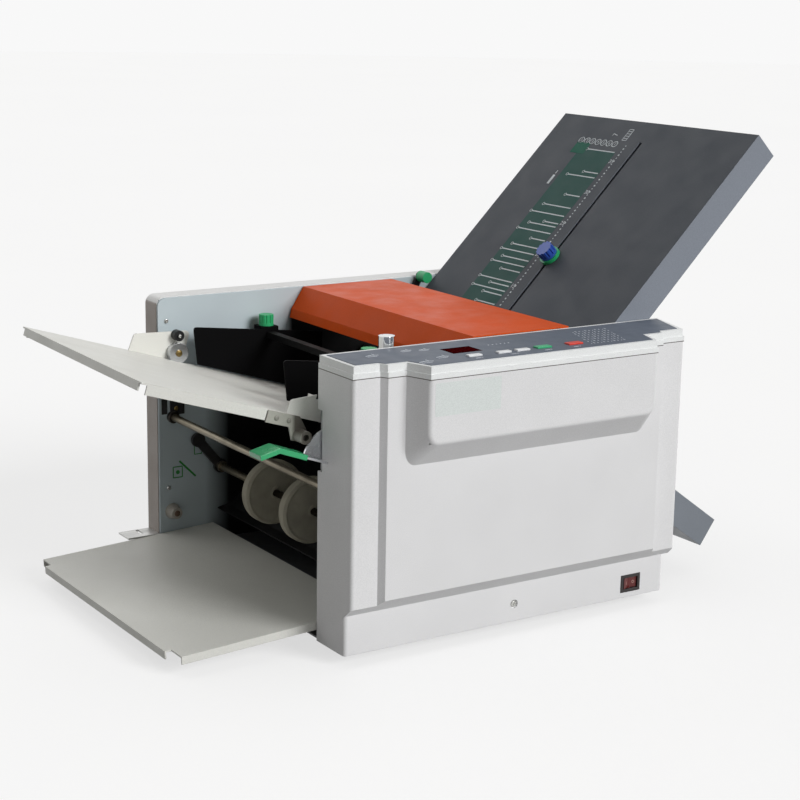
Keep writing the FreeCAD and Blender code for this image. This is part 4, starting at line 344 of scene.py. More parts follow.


# Where a piece has another colour: the cap's seam, painted shade on the cover's left end, painted
# shade on the hinge bracket's boss and the piece behind it, the part of the shaft that the discs
# shade, and the latch's knob, as (axis, start, end, colour)
SEAM, COVER_END, BRACKET_SHADE_START = at(0, 0, 282.2).z, at(-4, 0, 0).x, at(-25, 0, 0).x
SHADE_START, KNOB_START = at(0, 214, 0).y, at(0, 336.4, 0).y
CAP_SEAM = ("Z", SEAM + 0.9 * MM, SEAM + 0.7 * MM, (96, 92, 88))
# Painted shade: the cover's left end, beyond X -4.6 mm, is drawn darker and browner
COVER_END_SHADE = ("X", COVER_END, COVER_END - 0.6 * MM, (150, 140, 132))
# Painted shade: the hinge bracket turns dark from X -25 mm to -21 mm, over its boss and the piece
# behind it
BRACKET_SHADE = ("X", BRACKET_SHADE_START, BRACKET_SHADE_START + 4 * MM, (84, 80, 72))
SHADED_SHAFT = ("Y", SHADE_START, SHADE_START - 2 * MM, (44, 40, 34))
LATCH_KNOB = ("Y", KNOB_START, KNOB_START - 0.2 * MM, GREEN)


def key(name, colour):
    return moulded(name, colour, 0.36, 0.008 * MM, 0.5 * MM)


def tray_coat(name):
    return coated(name, TRAY, 0.42, 0.01, wear=TRAY_WEAR, wear_share=0.2, specular=0.2)


FINISHES = {
    "near_housing": moulded("housing_plastic", HOUSING, 0.5, variation=0.008, specular=0.3),
    "housing_cap": moulded("cap_plastic", CAP, 0.42, variation=0.006, specular=0.2,
                           change=CAP_SEAM),
    "control_overlay": moulded("overlay_film", (98, 106, 119), 0.4, 0.006 * MM, 0.2 * MM,
                               specular=0.08),
    "display_window": moulded("window_red", (50, 3, 6), 0.6, 0.002 * MM, 0.3 * MM, specular=0.0),
    "button_first": key("key_white", (236, 238, 240)),
    "start_button": key("key_green", (48, 172, 116)),
    "stop_button": key("key_red", (222, 58, 40)),
    "circuit_board": coated("board_green", (30, 84, 52), 0.35, peel=0.01 * MM),
    "power_switch_frame": moulded("switch_black", (30, 24, 23), 0.4, rounding=0.4 * MM),
    "power_rocker": moulded("rocker_red", (92, 22, 18), 0.3, 0.004 * MM, 0.4 * MM),
    "power_inlet": moulded("inlet_black", (24, 24, 25), rounding=0.4 * MM),
    "near_side_frame": coated("near_frame_coat", (150, 152, 154), 0.42, wear=(120, 122, 124)),
    # The far frame's coat has painted shade low on its inner face and in its roller bay
    "far_side_frame": faded_frame(),
    # The far cover carries painted shade on its left end
    "far_cover": coated("cover_coat", (228, 228, 227), 0.42, 0.01, wear=(176, 178, 178),
                        change=COVER_END_SHADE),
    "base_plate": coated("base_coat", (92, 93, 95), 0.5),
    "tray_bracket": sheet_steel("tab_zinc", (190, 190, 188), 0.38, stain=(150, 150, 146)),
    "rubber_feet": rubber("foot_rubber", (22, 22, 22), dust=(70, 68, 64)),
    "feed_tray": tray_coat("feed_tray_coat"),
    "ear_roller": rubber("ear_roller_black", (17, 17, 18), 0.4, 0.01 * MM),
    # The hinge bracket carries painted shade past its plate
    "tray_hinge_bracket": coated("bracket_grey", (170, 169, 160), 0.42, 0.02,
                                 wear=(140, 138, 130), change=BRACKET_SHADE),
    "tray_pivot_discs": turned_metal("disc_aluminium", (206, 208, 210), at(DISC_X, 0, DISC_Z)),
    "lift_cam": turned_metal("cam_aluminium", (205, 207, 210), at(12, 0, 190), 0.3),
    "lever_grip": moulded("grip_green", (34, 168, 106), 0.24, 0.006 * MM, 1.2 * MM, coat=0.3),
    "guide_rail": coated("rail_dark", (7, 7, 7), 0.6, wear=(24, 23, 22), wear_share=0.2,
                         specular=0.1),
    "far_side_guide": coated("guide_black", (10, 10, 11), 0.6, wear=(34, 33, 32), wear_share=0.2,
                             specular=0.04),
    "far_guide_knob": moulded("knob_green", GREEN, 0.4, rounding=0.4 * MM),
    "pressure_knob": polished("knob_chrome", (222, 224, 226)),
    "fold_roller_cover": coated("cover_orange", (216, 82, 16), 0.38, 0.03, 0.03 * MM,
                                wear=(120, 70, 45), specular=0.06),
    "fold_roller_a": rubber("roller_black", (30, 30, 32), 0.5, 0.01 * MM),
    "roller_bearings": sheet_steel("bearing_bronze", (150, 118, 74), 0.4),
    "feed_roller": rubber("feed_rubber", (46, 40, 37), dust=(82, 76, 68)),
    "feed_separator": rubber("separator_rubber", (30, 27, 25)),
    # Painted shade: the paper guides are drawn near black to stand for the shade under the hood
    "paper_guides": coated("guide_sheet_painted_shade", (14, 14, 15), 0.55, wear=(50, 50, 50), wear_share=0.2,
                           specular=0.2),
    "drive_motor": coated("motor_dark", (60, 61, 64), 0.35, wear=(130, 130, 130)),
    "motor_pulley": turned_metal("pulley_aluminium", (196, 198, 200), at(332, 0, 108)),
    "drive_belts": rubber("belt_rubber", (24, 24, 25), 0.7),
    "power_supply": sheet_steel("supply_case", (120, 122, 124), 0.4, stain=(100, 100, 100)),
    "stacker_arms": coated("arm_dark", (26, 26, 27), 0.42, wear=(80, 80, 78)),
    "stacker_shaft": sheet_steel("shaft_brown", (122, 114, 98), 0.36, ALONG_BAR,
                                 stain=(70, 64, 52), change=SHADED_SHAFT),
    "stacker_discs": rubber("disc_foam", (164, 160, 145), 0.85, 0.06 * MM, (148, 142, 126)),
    "cross_rod": sheet_steel("rod_brown", (116, 109, 94), 0.34, ALONG_BAR, (66, 60, 48)),
    "tie_bars": sheet_steel("bar_zinc", (110, 111, 112), 0.38, ALONG_BAR),
    "delivery_tray": tray_coat("delivery_tray_coat"),
    "tray_peg": moulded("peg_grey", (172, 167, 158)),
    "upper_plate_top": two_tone_plate(),
    "upper_plate_bed": coated("plate_grey", GREY_PLATE, 0.42, wear=(160, 162, 166)),
    "upper_stop_bar": moulded("stop_green", GREEN, 0.36, rounding=0.4 * MM),
    "upper_stop_knob": moulded("knob_blue", BLUE, 0.36, rounding=0.4 * MM),
    "lower_plate_bed": coated("lower_grey", (116, 122, 130), 0.42, wear=(150, 152, 156)),
    "lower_plate_top": coated("lower_dark", (72, 76, 80), 0.46, wear=(120, 122, 124)),
    "plate_latch": coated("latch_black", (18, 18, 19), 0.4, change=LATCH_KNOB),
    "panel_screws": polished("screw_zinc", (190, 190, 186), 0.25),
}
SAME_FINISH = {
    "button_second": "button_first", "button_third": "button_first",
    "near_side_guide": "far_side_guide", "near_guide_knob": "far_guide_knob",
    "fold_roller_b": "fold_roller_a", "fold_roller_c": "fold_roller_a",
    "fold_roller_d": "fold_roller_a", "lower_stop": "upper_stop_knob",
}

for name, node in NODES.items():
    finish = FINISHES[SAME_FINISH.get(name, name)]
    if not node.material_slots:
        node.data.materials.append(finish)
    for held in node.material_slots:
        held.material = finish

INK_WHITE = ink("ink_white", (226, 234, 238), 0.08, 0.55)
INK_FAINT = ink("ink_faint", (226, 231, 238), 0.08)
INK_SWITCH = ink("ink_switch", (186, 150, 140), 0.2)
INK_GREEN = ink("ink_green", (44, 84, 78), 0.1)
INK_TAB = ink("ink_tab", (26, 96, 78), 0.1)
SIGN_GREEN = ink("sign_green", (58, 140, 70), 0.2)
DIGIT_RED = ink("digit_red", (78, 10, 11), 0.0, 0.6)
LABEL = moulded("label_film", (225, 231, 229), 0.5, 0.0, 0.0, 0.002, specular=0.2)
DARK_HOLE = moulded("slot_dark", (10, 10, 11), 0.6, rounding=0.2 * MM)
BRASS = polished("brass", (138, 118, 74), 0.3)
DARK_STEEL = polished("dark_steel", (62, 58, 54), 0.3)
RIVET_GREY = moulded("rivet_grey", (140, 139, 130), 0.4)
PLUG_BROWN = moulded("plug_brown", (98, 76, 58), 0.5)

# ---------------------------------------------------------------- how pieces are drawn

# How far a mark stands above its face, and how far it reaches into it
INK = 0.12 * MM
INK_SUNK = 0.05 * MM
# How far above a face the ray starts that finds it
LOOK_FROM = 20 * MM
DOT_CORNERS, RING_CORNERS, FIGURE_STEPS = 12, 14, 3

bpy.context.view_layer.update()


def landing(node, start, towards):
    """Where a ray from start first meets a node."""
    held = NODES[node]
    into = held.matrix_world.inverted()
    met, spot, *rest = held.ray_cast(into @ start, into.to_3x3() @ towards)
    if not met:
        raise ValueError("no face of " + node + " there")
    return held.matrix_world @ spot


def piece(name, shape, finish, body, instead=None):
    """A mesh built in shape, as a piece that rides with a body."""
    bmesh.ops.recalc_face_normals(shape, faces=shape.faces)
    mesh = bpy.data.meshes.new(name)
    shape.to_mesh(mesh)
    shape.free()
    mesh.materials.append(finish)
    made = bpy.data.objects.new(name, mesh)
    bpy.context.scene.collection.objects.link(made)
    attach(made, body)
    if instead:
        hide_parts(instead)


def side_faces(shape, low, high):
    """The faces between two rings of as many points."""
    for i in range(len(low)):
        shape.faces.new((low[i - 1], low[i], high[i], high[i - 1]))


def round_points(x, y, radius, count, corners):
    """Points round x and y, spaced so that corners of them make a full turn."""
    return [(x + radius * math.cos(a), y + radius * math.sin(a))
            for a in (math.tau * i / corners for i in range(count))]


def even(start, pitch, count):
    """Places at an even pitch."""
    return [start + pitch * step for step in range(count)]


class Print:
    """Marks on a flat face of a node, in millimetres from a corner, along and across the face.

    found is a place on the face, in the same measure, where a ray finds how high the face lies.
    """

    def __init__(self, node, corner, along, across, found=(10, 10), height=INK):
        self.normal = along.cross(across)
        above = corner + along * found[0] * MM + across * found[1] * MM + self.normal * LOOK_FROM
        depth = (landing(node, above, -self.normal) - corner).dot(self.normal)
        turn = Matrix((along, across, self.normal)).transposed().to_4x4()
        self.frame = Matrix.Translation(corner + self.normal * depth) @ turn
        self.shape = bmesh.new()
        self.height = height

    def area(self, outline):
        """A patch with these corners, in order either way."""
        low, high = ([self.shape.verts.new(self.frame @ Vector((x * MM, y * MM, z)))
                      for x, y in outline] for z in (-INK_SUNK, self.height))
        self.shape.faces.new(high)
        self.shape.faces.new(low[::-1])
        side_faces(self.shape, low, high)

    def box(self, left, low, right, high):
        self.area([(left, low), (right, low), (right, high), (left, high)])

    def line(self, points, width):
        for (x, y), (to_x, to_y) in zip(points, points[1:]):
            side = Vector((y - to_y, to_x - x)).normalized() * width / 2
            self.area([(x + side.x, y + side.y), (to_x + side.x, to_y + side.y),
                       (to_x - side.x, to_y - side.y), (x - side.x, y - side.y)])

    def dot(self, x, y, radius):
        self.area(round_points(x, y, radius, DOT_CORNERS, DOT_CORNERS))

    def ring(self, x, y, radius, width):
        self.line(round_points(x, y, radius, RING_CORNERS + 1, RING_CORNERS), width)

    def frame_line(self, left, low, right, high, width):
        self.line([(left, low), (right, low), (right, high), (left, high), (left, low)], width)

    def number(self, value, x, y, height):
        """A plain number, its middle at x and y, turned to read across the face."""
        letters = bpy.data.curves.new("figure", "FONT")
        letters.body, letters.size, letters.extrude = str(value), height * MM, INK / 2
        letters.align_x, letters.align_y, letters.resolution_u = "CENTER", "CENTER", FIGURE_STEPS
        holder = bpy.data.objects.new("figure", letters)
        drawn = bpy.data.meshes.new_from_object(holder)
        drawn.transform(self.frame @ Matrix.Translation((x * MM, y * MM, 0))
                        @ Matrix.Rotation(math.radians(-90), 4, "Z"))
        self.shape.from_mesh(drawn)
        bpy.data.objects.remove(holder)
        bpy.data.curves.remove(letters)
        bpy.data.meshes.remove(drawn)

    def done(self, name, finish, body="machine"):
        piece(name, self.shape, finish, body)


def in_metres(sizes):
    """Pairs of a radius and a height in millimetres, as pairs in metres."""
    return [(radius * MM, height * MM) for radius, height in sizes]


def standing(seat, facing):
    """The frame that has its origin at seat and its Z along facing."""
    return Matrix.Translation(seat) @ facing.to_track_quat("Z", "Y").to_matrix().to_4x4()


def add_turned(shape, profile, seat, facing, segments=40):
    """A profile of (radius, height) in metres turned about facing. Gives its last ring."""
    place = standing(seat, facing)
    rings = []
    for radius, height in profile:
        turns = (math.tau * i / segments for i in range(segments))
        rings.append([shape.verts.new(place @ Vector((radius * math.cos(a), radius * math.sin(a),
                                                      height))) for a in turns])
    for low, high in zip(rings, rings[1:]):
        side_faces(shape, low, high)
    return rings[-1]


# A pan head's rim and the arms of its cross, as shares of its radius and height
HEAD_PROFILE = ((1, 0), (1, 0.4), (0.93, 0.72), (0.82, 0.92), (0.68, 1))
HEAD_SEGMENTS = 32
ARM_REACH, ARM_HALF = 0.5, 0.11
POCKET_TAPER, POCKET_FLOOR = 0.8, 0.3


def add_screw(shape, seat, facing, radius, height):
    """A pan head: a rounded rim and a cross pressed into its crown."""
    rim = add_turned(shape, [(radius * r, height * h) for r, h in HEAD_PROFILE], seat, facing,
                     HEAD_SEGMENTS)
    arm, half = ARM_REACH * radius, ARM_HALF * radius
    cross = []
    for turn in range(4):
        for x, y in ((arm, -half), (arm, half), (half, half)):
            for quarter in range(turn):
                x, y = -y, x
            cross.append((x, y))
    place = standing(seat, facing)
    lip = [shape.verts.new(place @ Vector((x, y, height))) for x, y in cross]
    pocket = [shape.verts.new(place @ Vector((POCKET_TAPER * x, POCKET_TAPER * y,
                                              POCKET_FLOOR * height))) for x, y in cross]
    crown = [shape.edges.get((ring[i - 1], ring[i])) or shape.edges.new((ring[i - 1], ring[i]))
             for ring in (rim, lip) for i in range(len(ring))]
    bmesh.ops.triangle_fill(shape, use_beauty=True, edges=crown)
    side_faces(shape, lip, pocket)
    shape.faces.new(pocket)


# Points nearer than this are one, and boxes are put in order by corners rounded to these places
SAME_POINT, ORDER_PLACES = 1e-6, 5


def loose_boxes(node):
    """The box of each separate solid in a node, as its low and high corners."""
    shape = bmesh.new()
    shape.from_mesh(node.data)
    bmesh.ops.remove_doubles(shape, verts=shape.verts, dist=SAME_POINT)
    waiting, boxes = set(shape.verts), []
    while waiting:
        group, edge = set(), [waiting.pop()]
        while edge:
            vert = edge.pop()
            group.add(vert)
            for link in vert.link_edges:
                other = link.other_vert(vert)
                if other in waiting:
                    waiting.discard(other)
                    edge.append(other)
        spots = [node.matrix_world @ v.co for v in group]
        boxes.append([Vector(pick(s[i] for s in spots) for i in range(3)) for pick in (min, max)])
    shape.free()
    return sorted(boxes, key=lambda ends: tuple(round(c, ORDER_PLACES) for c in ends[0]))


# ---------------------------------------------------------------- print on the cap and the front

# The film is drawn in the machine's X and Y. It has five small signs of folds, each given by the
# X and Y of its middle and half its length, marks before the keys, and a row of dots behind them
FILM = ("control_overlay", at(0, 0, 295.5), RIGHT, BACK, (60, -60))
FOLD_SIGNS = ((41, -29, 7), (82, -24, 6), (100, -28, 6), (71, -76, 8), (97, -64, 7))
SIGN_BOLD, SIGN_FINE = 1.1, 0.8
KEY_MARKS, KEY_MARK_Y, KEY_MARK_HALF, KEY_MARK_WIDTH = (124, 165, 205, 240), -84, 3, 1.0
KEY_DOT_SHIFT, KEY_DOT_RADIUS = 4.6, 0.7
LAMP_DOTS, LAMP_Y, LAMP_RADIUS = even(168, 4.8, 6), -38, 0.8

film = Print(*FILM)
for x, y, size in FOLD_SIGNS:
    film.line([(x - size, y), (x, y + size / 3), (x + size, y)], SIGN_BOLD)
    film.line([(x - size, y - size / 2), (x + size / 2, y - size / 2)], SIGN_FINE)
    film.line([(x + size / 2, y + size / 3), (x + size / 2, y + size)], SIGN_FINE)
for x in KEY_MARKS:
    film.line([(x - KEY_MARK_HALF, KEY_MARK_Y), (x + KEY_MARK_HALF, KEY_MARK_Y)], KEY_MARK_WIDTH)
    film.dot(x + KEY_DOT_SHIFT, KEY_MARK_Y, KEY_DOT_RADIUS)
for x in LAMP_DOTS:
    film.dot(x, LAMP_Y, LAMP_RADIUS)
film.done("film_signs", INK_FAINT)

# A faint field of short strokes at the film's right, in rows that each start further along
FIELD_ROWS, FIELD_STROKES = even(-80, 9, 7), 11
FIELD_X, FIELD_ROW_SHIFT, FIELD_PITCH = 262, 3.2, 4.2
STROKE_LEAN, STROKE_WIDTH, STROKE_SHORT, STROKE_STEP = 0.8, 0.7, 1.6, 1.4

field = Print(*FILM)
for row, low in enumerate(FIELD_ROWS):
    for step, x in enumerate(even(FIELD_X + FIELD_ROW_SHIFT * row, FIELD_PITCH, FIELD_STROKES)):
        tall = STROKE_SHORT + STROKE_STEP * ((row + 2 * step) % 3)
        field.line([(x, low), (x + STROKE_LEAN, low + tall)], STROKE_WIDTH)
field.done("film_field", INK_FAINT)

# Three figures of seven unlit bars each, from the middle of the display window
FIGURES, LEVEL_BARS, UPRIGHT_BARS = (-9.5, 0, 9.5), (-6, 0, 6), (-5.4, 0.6)
LEVEL_HALF, UPRIGHT_SHIFT, UPRIGHT_LENGTH, BAR_WIDTH = 2.2, 2.9, 4.8, 1.0
POINT_SHIFT, POINT_Y, POINT_RADIUS = 4.7, -6, 0.6

window = Print("display_window", at(131, -45, 295.5), RIGHT, BACK, (0, 0))
for middle in FIGURES:
    for y in LEVEL_BARS:
        window.line([(middle - LEVEL_HALF, y), (middle + LEVEL_HALF, y)], BAR_WIDTH)
    for x in (middle - UPRIGHT_SHIFT, middle + UPRIGHT_SHIFT):
        for y in UPRIGHT_BARS:
            window.line([(x, y), (x, y + UPRIGHT_LENGTH)], BAR_WIDTH)
    window.dot(middle + POINT_SHIFT, POINT_Y, POINT_RADIUS)
window.done("display_bars", DIGIT_RED)

# The label's bare place on the front, with rounded corners
LABEL_LENGTH, LABEL_HEIGHT, LABEL_ROUND = 74.4, 31.5, 1.5
LABEL_RIGHT, LABEL_TOP = LABEL_LENGTH - LABEL_ROUND, LABEL_HEIGHT - LABEL_ROUND

LABEL_CORNERS = ((LABEL_RIGHT, LABEL_TOP, 0), (LABEL_ROUND, LABEL_TOP, 90),
                 (LABEL_ROUND, LABEL_ROUND, 180), (LABEL_RIGHT, LABEL_ROUND, 270))

label = Print("near_housing", at(68.2, -96.2, 247.5), RIGHT, UP)
label.area([(x + LABEL_ROUND * math.cos(a), y + LABEL_ROUND * math.sin(a))
            for x, y, start in LABEL_CORNERS
            for a in (math.radians(start + turn) for turn in (0, 30, 60, 90))])
label.done("front_label", LABEL)

# ---------------------------------------------------------------- the fold scale

# Drawn up the slope of the upper plate from its foot, and across the plate from its near edge
PLATE = ("upper_plate_top", at(270, 1.5, 207), Vector((1, 0, 1)).normalized(), BACK, (200, 230))

# Left, low, right and high of the green band, of the tab at its head, and of a white block
BAND, TAB, BLOCK = (96, 197, 341, 262), (333, 250, 350, 275), (283, 268, 297, 272)

band = Print(*PLATE, height=INK / 2)
band.box(*BAND)
band.done("scale_band", INK_GREEN)
tab = Print(*PLATE)
tab.box(*TAB)
tab.done("scale_tab", INK_TAB)

# The sheet lines: where each column of them ends across the plate, and their places up the slope
SHEET_LINES = {
    223: (308, 272, 230, 204),
    233: (156, 135, 121.5, 108),
    247: (341, 301, 254, 225, 192, 173),
    259: (241.6, 215, 183, 164.5, 141, 127.5),
}
LINE_START, LINE_WIDTH = 198.5, 1.5
END_RING_SHIFT, END_RING, END_RING_WIDTH = 2.2, 1.8, 0.7
TICK_START, TICK_PITCH, TICK_COUNT, TICK_Y = 100, 4.76, 54, 188.5
TICK_RADII, TICKS_PER_NUMBER = (1.2, 0.8), 10
NUMBERS, NUMBER_START, NUMBER_Y, NUMBER_HEIGHT = (15, 20, 25, 30, 35), 137, 192.5, 8
# The ringed numbers of the folds across the plate's head, and a small grid
FOLD_X, FOLD_PLACES, FOLD_HEIGHT, FOLD_RING, FOLD_RING_WIDTH = 353, even(209, 10.3, 7), 6, 4.2, 0.9
GRID_LEFT, GRID_LOW, GRID_RIGHT, GRID_HIGH = 360, 195.5, 377, 202.5
GRID_BARS, GRID_WIDTH = even(363, 3.6, 4), 0.8
# A dash after the white block, and a hook by the ringed numbers
DASH, DASH_WIDTH = ((299, 270), (304, 270)), 1.2
HOOK, HOOK_WIDTH = ((366, 216), (368, 224), (365, 224)), 1.0

scale = Print(*PLATE)
for end, places in SHEET_LINES.items():
    for x in places:
        scale.line([(x, LINE_START), (x, end)], LINE_WIDTH)
        scale.ring(x, end + END_RING_SHIFT, END_RING, END_RING_WIDTH)
for step, x in enumerate(even(TICK_START, TICK_PITCH, TICK_COUNT)):
    scale.dot(x, TICK_Y, TICK_RADII[step % 2])
for step, value in enumerate(NUMBERS):
    scale.number(value, NUMBER_START + TICKS_PER_NUMBER * TICK_PITCH * step, NUMBER_Y,
                 NUMBER_HEIGHT)
for step, y in enumerate(FOLD_PLACES):
    scale.ring(FOLD_X, y, FOLD_RING, FOLD_RING_WIDTH)
    scale.number(len(FOLD_PLACES) - step, FOLD_X, y, FOLD_HEIGHT)
scale.box(*BLOCK)
scale.line(DASH, DASH_WIDTH)
scale.frame_line(GRID_LEFT, GRID_LOW, GRID_RIGHT, GRID_HIGH, GRID_WIDTH)
for x in GRID_BARS:
    scale.line([(x, GRID_LOW), (x, GRID_HIGH)], GRID_WIDTH)
scale.line(HOOK, HOOK_WIDTH)
scale.done("scale_marks", INK_WHITE)

# ---------------------------------------------------------------- marks on the rocker and the frame

# ON and OFF on the rocker, which lies tilted in its frame: each half's slope is found at two places
ROCKER_LOW, ROCKER_HIGH = (Vector(corner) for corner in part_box("power_rocker"))
LOOK_AT_ROCKER = 30 * MM
BEFORE_ROCKER = (ROCKER_LOW + ROCKER_HIGH) / 2 - BACK * LOOK_AT_ROCKER
INNER_PLACE, OUTER_PLACE = 2, 7
ON_BAR, ON_WIDTH = ((-3, -1.7), (-3, 1.7)), 0.7
OFF_X, OFF_RADIUS, OFF_WIDTH = 3, 1.4, 0.6

for side, name in ((-1, "on_mark"), (1, "off_mark")):
    inner, outer = (landing("power_rocker", BEFORE_ROCKER + RIGHT * side * place * MM, BACK)
                    for place in (INNER_PLACE, OUTER_PLACE))
    face = Print("power_rocker", inner, (outer - inner).normalized() * side, UP,
                 (side * INNER_PLACE, 0))
    if side < 0:
        face.line(ON_BAR, ON_WIDTH)
    else:
        face.ring(OFF_X, 0, OFF_RADIUS, OFF_WIDTH)
    face.done(name, INK_SWITCH, "power_rocker")

# The far frame's inner face, drawn in the machine's X and Z: painted shade where a slot opens, a
# pad with its screw, and the green signs of the tray's height
FRAME_FACE = ("far_side_frame", at(0, 340, 0), RIGHT, UP, (20, 200))
SLOT_SHADE, PAD, PAD_HEIGHT = (-1, 166, 6, 185), (9, 165, 26, 182), 2 * MM
LOW_SIGN, LOW_WIDTH, LOW_DOT = (12.3, 92, 23.5, 104.3), 1.2, (18, 98, 2.4)
SLASH, SLASH_WIDTH = ((20, 110.6), (40, 90.6)), 2.2
HIGH_SIGN, HIGH_WIDTH = (38.8, 116, 47.7, 129.7), 1.0

# Painted shade: a flat dark patch stands for the slot's shaded inside
slot = Print(*FRAME_FACE)
slot.box(*SLOT_SHADE)
slot.done("frame_slot_shade", DARK_HOLE)
pad = Print(*FRAME_FACE, height=PAD_HEIGHT)
pad.box(*PAD)
pad.done("frame_pad", DARK_HOLE)
sign = Print(*FRAME_FACE)
sign.frame_line(*LOW_SIGN, LOW_WIDTH)
sign.dot(*LOW_DOT)
sign.line(SLASH, SLASH_WIDTH)
sign.frame_line(*HIGH_SIGN, HIGH_WIDTH)
sign.done("frame_signs", SIGN_GREEN)

# ---------------------------------------------------------------- screws, rivets, plug and collar

# The radius and the height of each kind of head
PAD_SCREW, DISC_SCREW, EAR_SCREW = in_metres(((2.6, 1.2), (2.8, 2), (1.9, 1.2)))

# Cross-headed screws in place of the plain heads, those beyond the far cover facing back
COVER_SIDE = at(0, 360, 0).y
screws = bmesh.new()
for low, high in loose_boxes(NODES["panel_screws"]):
    middle, outside = (low + high) / 2, low.y > COVER_SIDE
    seat = Vector((middle.x, low.y if outside else high.y, middle.z))
    add_screw(screws, seat, BACK if outside else -BACK, (high.x - low.x) / 2, high.y - low.y)
piece("screw_heads", screws, FINISHES["panel_screws"], "machine", "panel_screws")

screws = bmesh.new()
add_screw(screws, at(16, 338, 172), -BACK, *PAD_SCREW)
piece("pad_screw", screws, BRASS, "machine")

# Brass screws with their washers, which hold the aluminium discs on their studs
WASHER = in_metres(((3.8, 0), (3.8, 0.7), (3.5, 1), (2.4, 1)))
screws = bmesh.new()
for y, facing in ((INSIDE_FAR, BACK), (INSIDE_NEAR, -BACK)):
    seat = landing("tray_pivot_discs", at(DISC_X, y, DISC_Z), facing)
    add_turned(screws, WASHER, seat, -facing)
    add_screw(screws, seat, -facing, *DISC_SCREW)
piece("disc_screws", screws, BRASS, "machine")

screws = bmesh.new()
seat = landing("ear_roller", at(DISC_X, INSIDE_FAR, EAR_ROLLER_Z), BACK)
add_screw(screws, seat, -BACK, *EAR_SCREW)
piece("ear_screw", screws, FINISHES["panel_screws"], "feed_table")

# Rivets in the hinge bracket's holes, which lie along the sloping table and below its edge. The
# ray that finds the bracket's face goes past the hole
TABLE_END, TABLE_SLOPE, BELOW_EDGE = at(-177, -60, 285.5), math.radians(17), 6
RIVETS, PAST_HOLE, RIVET_SEGMENTS = (144, 158), 4 * MM, 24
RIVET = in_metres(((2.6, 0), (2.5, 0.4), (1.9, 0.8), (1.0, 1)))
rivets = bmesh.new()
for along in RIVETS:
    level = along * math.cos(TABLE_SLOPE) - BELOW_EDGE * math.sin(TABLE_SLOPE)
    drop = -along * math.sin(TABLE_SLOPE) - BELOW_EDGE * math.cos(TABLE_SLOPE)
    spot = TABLE_END + Vector((level, 0, drop)) * MM
    spot.y = landing("tray_hinge_bracket", spot + RIGHT * PAST_HOLE, BACK).y
    rivets.faces.new(add_turned(rivets, RIVET, spot, -BACK, RIVET_SEGMENTS))
piece("bracket_rivets", rivets, RIVET_GREY, "feed_table")

# The brown plug in the cone's tip
PLUG = in_metres(((3.4, 0), (3.4, 0.5), (2.9, 1), (1.6, 1.3)))
plug = bmesh.new()
plug.faces.new(add_turned(plug, PLUG, landing("tray_peg", at(11, 250, 54), BACK), -BACK))
piece("peg_plug", plug, PLUG_BROWN, "machine")

# The collar at the rod's far end
COLLAR = in_metres(((4.05, 0), (6.8, 0), (6.8, 4.5), (6.2, 5.2), (4.05, 5.2)))
collar = bmesh.new()
add_turned(collar, COLLAR, at(12, 340, 162.5), -BACK)
piece("rod_collar", collar, DARK_STEEL, "machine")

# ---------------------------------------------------------------- floor, light and camera

FLOOR_RADIUS, FLOOR_SEGMENTS, FLOOR_Z = 14, 96, -0.2 * MM
FLOOR_DARK, FLOOR_LIGHT, FLOOR_ADDED = 0.34, 0.35, 0.66
WORLD_COLOUR, WORLD_STRENGTH, WORLD_SEEN = (1.0, 0.985, 0.96, 1), 0.24, 0.94

# Far lamps, as broad soft discs: the direction, the spread in degrees, and the power
SUNS = {
    "key": ((0.33, -0.84, 0.43), 26, 2.35),
    "top": ((0.1, 0.25, 0.96), 60, 0.45),
    "back": ((-0.2, 0.85, 0.45), 60, 0.55),
}

# Where the photograph was taken from: yaw, pitch and roll in degrees, and the focal length in
# pixels of the photograph's width
CAMERA_PLACE, CAMERA_TURN = at(-846.5, -1446.8, 639.0), (-32.9648, -12.9774, 0.9879)
FOCAL_PIXELS, PHOTO_WIDTH, SENSOR_WIDTH = 1825.39, 800, 36
NEAREST, FARTHEST = 0.05, 60


def background_ray(tree):
    """1 for a ray that shows the background: the camera's, or mirrored or let through."""
    path = tree.nodes.new("ShaderNodeLightPath").outputs
    shown = path["Is Camera Ray"]
    for kind in ("Is Glossy Ray", "Is Transmission Ray"):
        either = tree.nodes.new("ShaderNodeMath")
        either.operation = "MAXIMUM"
        tree.links.new(shown, either.inputs[0])
        tree.links.new(path[kind], either.inputs[1])
        shown = either.outputs[0]
    return shown


def floor():
    """A pale floor. What it adds for the camera keeps it near white under the low, soft key."""
    f = Finish("floor_pale", 0.9, specular=0.0)
    cloud = f.noise(1.3, detail=3)
    f.paint(f.ramp(cloud, [(NOISE_LOW, grey(FLOOR_DARK)), (NOISE_HIGH, grey(FLOOR_LIGHT))]))
    f.put("Emission Color", grey(1))
    f.link(f.times(background_ray(f.tree), FLOOR_ADDED), f.shader.inputs["Emission Strength"])
    mesh = bpy.data.meshes.new("floor")
    shape = bmesh.new()
    bmesh.ops.create_circle(shape, cap_ends=True, segments=FLOOR_SEGMENTS, radius=FLOOR_RADIUS)
    shape.to_mesh(mesh)
    shape.free()
    made = bpy.data.objects.new("floor", mesh)
    bpy.context.scene.collection.objects.link(made)
    made.location.z = FLOOR_Z
    made.data.materials.append(f.relief([(cloud, 0.0)]))


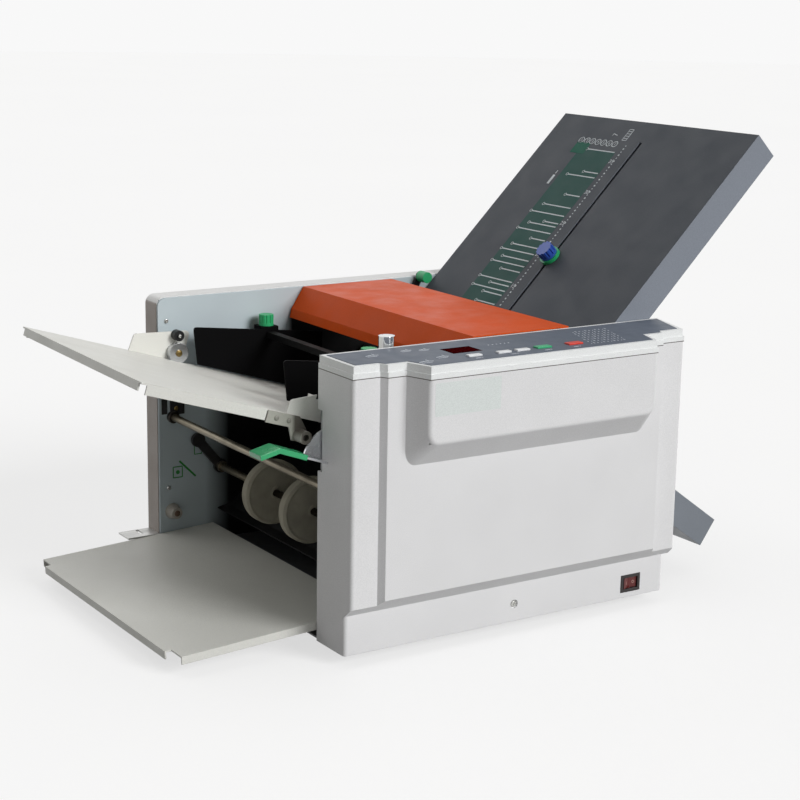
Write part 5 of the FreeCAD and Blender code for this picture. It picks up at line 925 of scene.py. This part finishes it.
def sun(name, towards, spread, power):
    data = bpy.data.lights.new(name, "SUN")
    data.angle = math.radians(spread)
    data.energy = power
    made = bpy.data.objects.new(name, data)
    bpy.context.scene.collection.objects.link(made)
    made.rotation_mode = "QUATERNION"
    made.rotation_quaternion = Vector(towards).to_track_quat("Z", "Y")


def surroundings():
    """A world that lights the machine faintly and warmly, and is seen as a pale backdrop."""
    world = bpy.data.worlds.new("studio")
    bpy.context.scene.world = world
    world.use_nodes = True
    tree = world.node_tree
    tree.nodes.clear()
    mixed = tree.nodes.new("ShaderNodeMixShader")
    tree.links.new(background_ray(tree), mixed.inputs[0])
    for slot, (colour, strength) in enumerate(((WORLD_COLOUR, WORLD_STRENGTH),
                                               (grey(WORLD_SEEN), 1.0)), 1):
        made = tree.nodes.new("ShaderNodeBackground")
        made.inputs["Color"].default_value = colour
        made.inputs["Strength"].default_value = strength
        tree.links.new(made.outputs[0], mixed.inputs[slot])
    output = tree.nodes.new("ShaderNodeOutputWorld")
    tree.links.new(mixed.outputs[0], output.inputs["Surface"])


def camera():
    """The scene's camera, at the photograph's angle."""
    yaw, pitch, roll = (math.radians(a) for a in CAMERA_TURN)
    forward = Vector((-math.sin(yaw) * math.cos(pitch), math.cos(yaw) * math.cos(pitch),
                      math.sin(pitch)))
    right = forward.cross(UP).normalized()
    up = right.cross(forward)
    side = right * math.cos(roll) + up * math.sin(roll)
    top = up * math.cos(roll) - right * math.sin(roll)
    data = bpy.data.cameras.new("camera")
    data.sensor_width = SENSOR_WIDTH
    data.lens = SENSOR_WIDTH * FOCAL_PIXELS / PHOTO_WIDTH
    data.clip_start, data.clip_end = NEAREST, FARTHEST
    made = bpy.data.objects.new("camera", data)
    bpy.context.scene.collection.objects.link(made)
    turn = Matrix((side, top, -forward)).transposed().to_4x4()
    made.matrix_world = Matrix.Translation(CAMERA_PLACE) @ turn
    bpy.context.scene.camera = made


floor()
surroundings()
for name, (towards, spread, power) in SUNS.items():
    sun(name, towards, spread, power)
camera()
bpy.context.scene.view_settings.view_transform = "Standard"
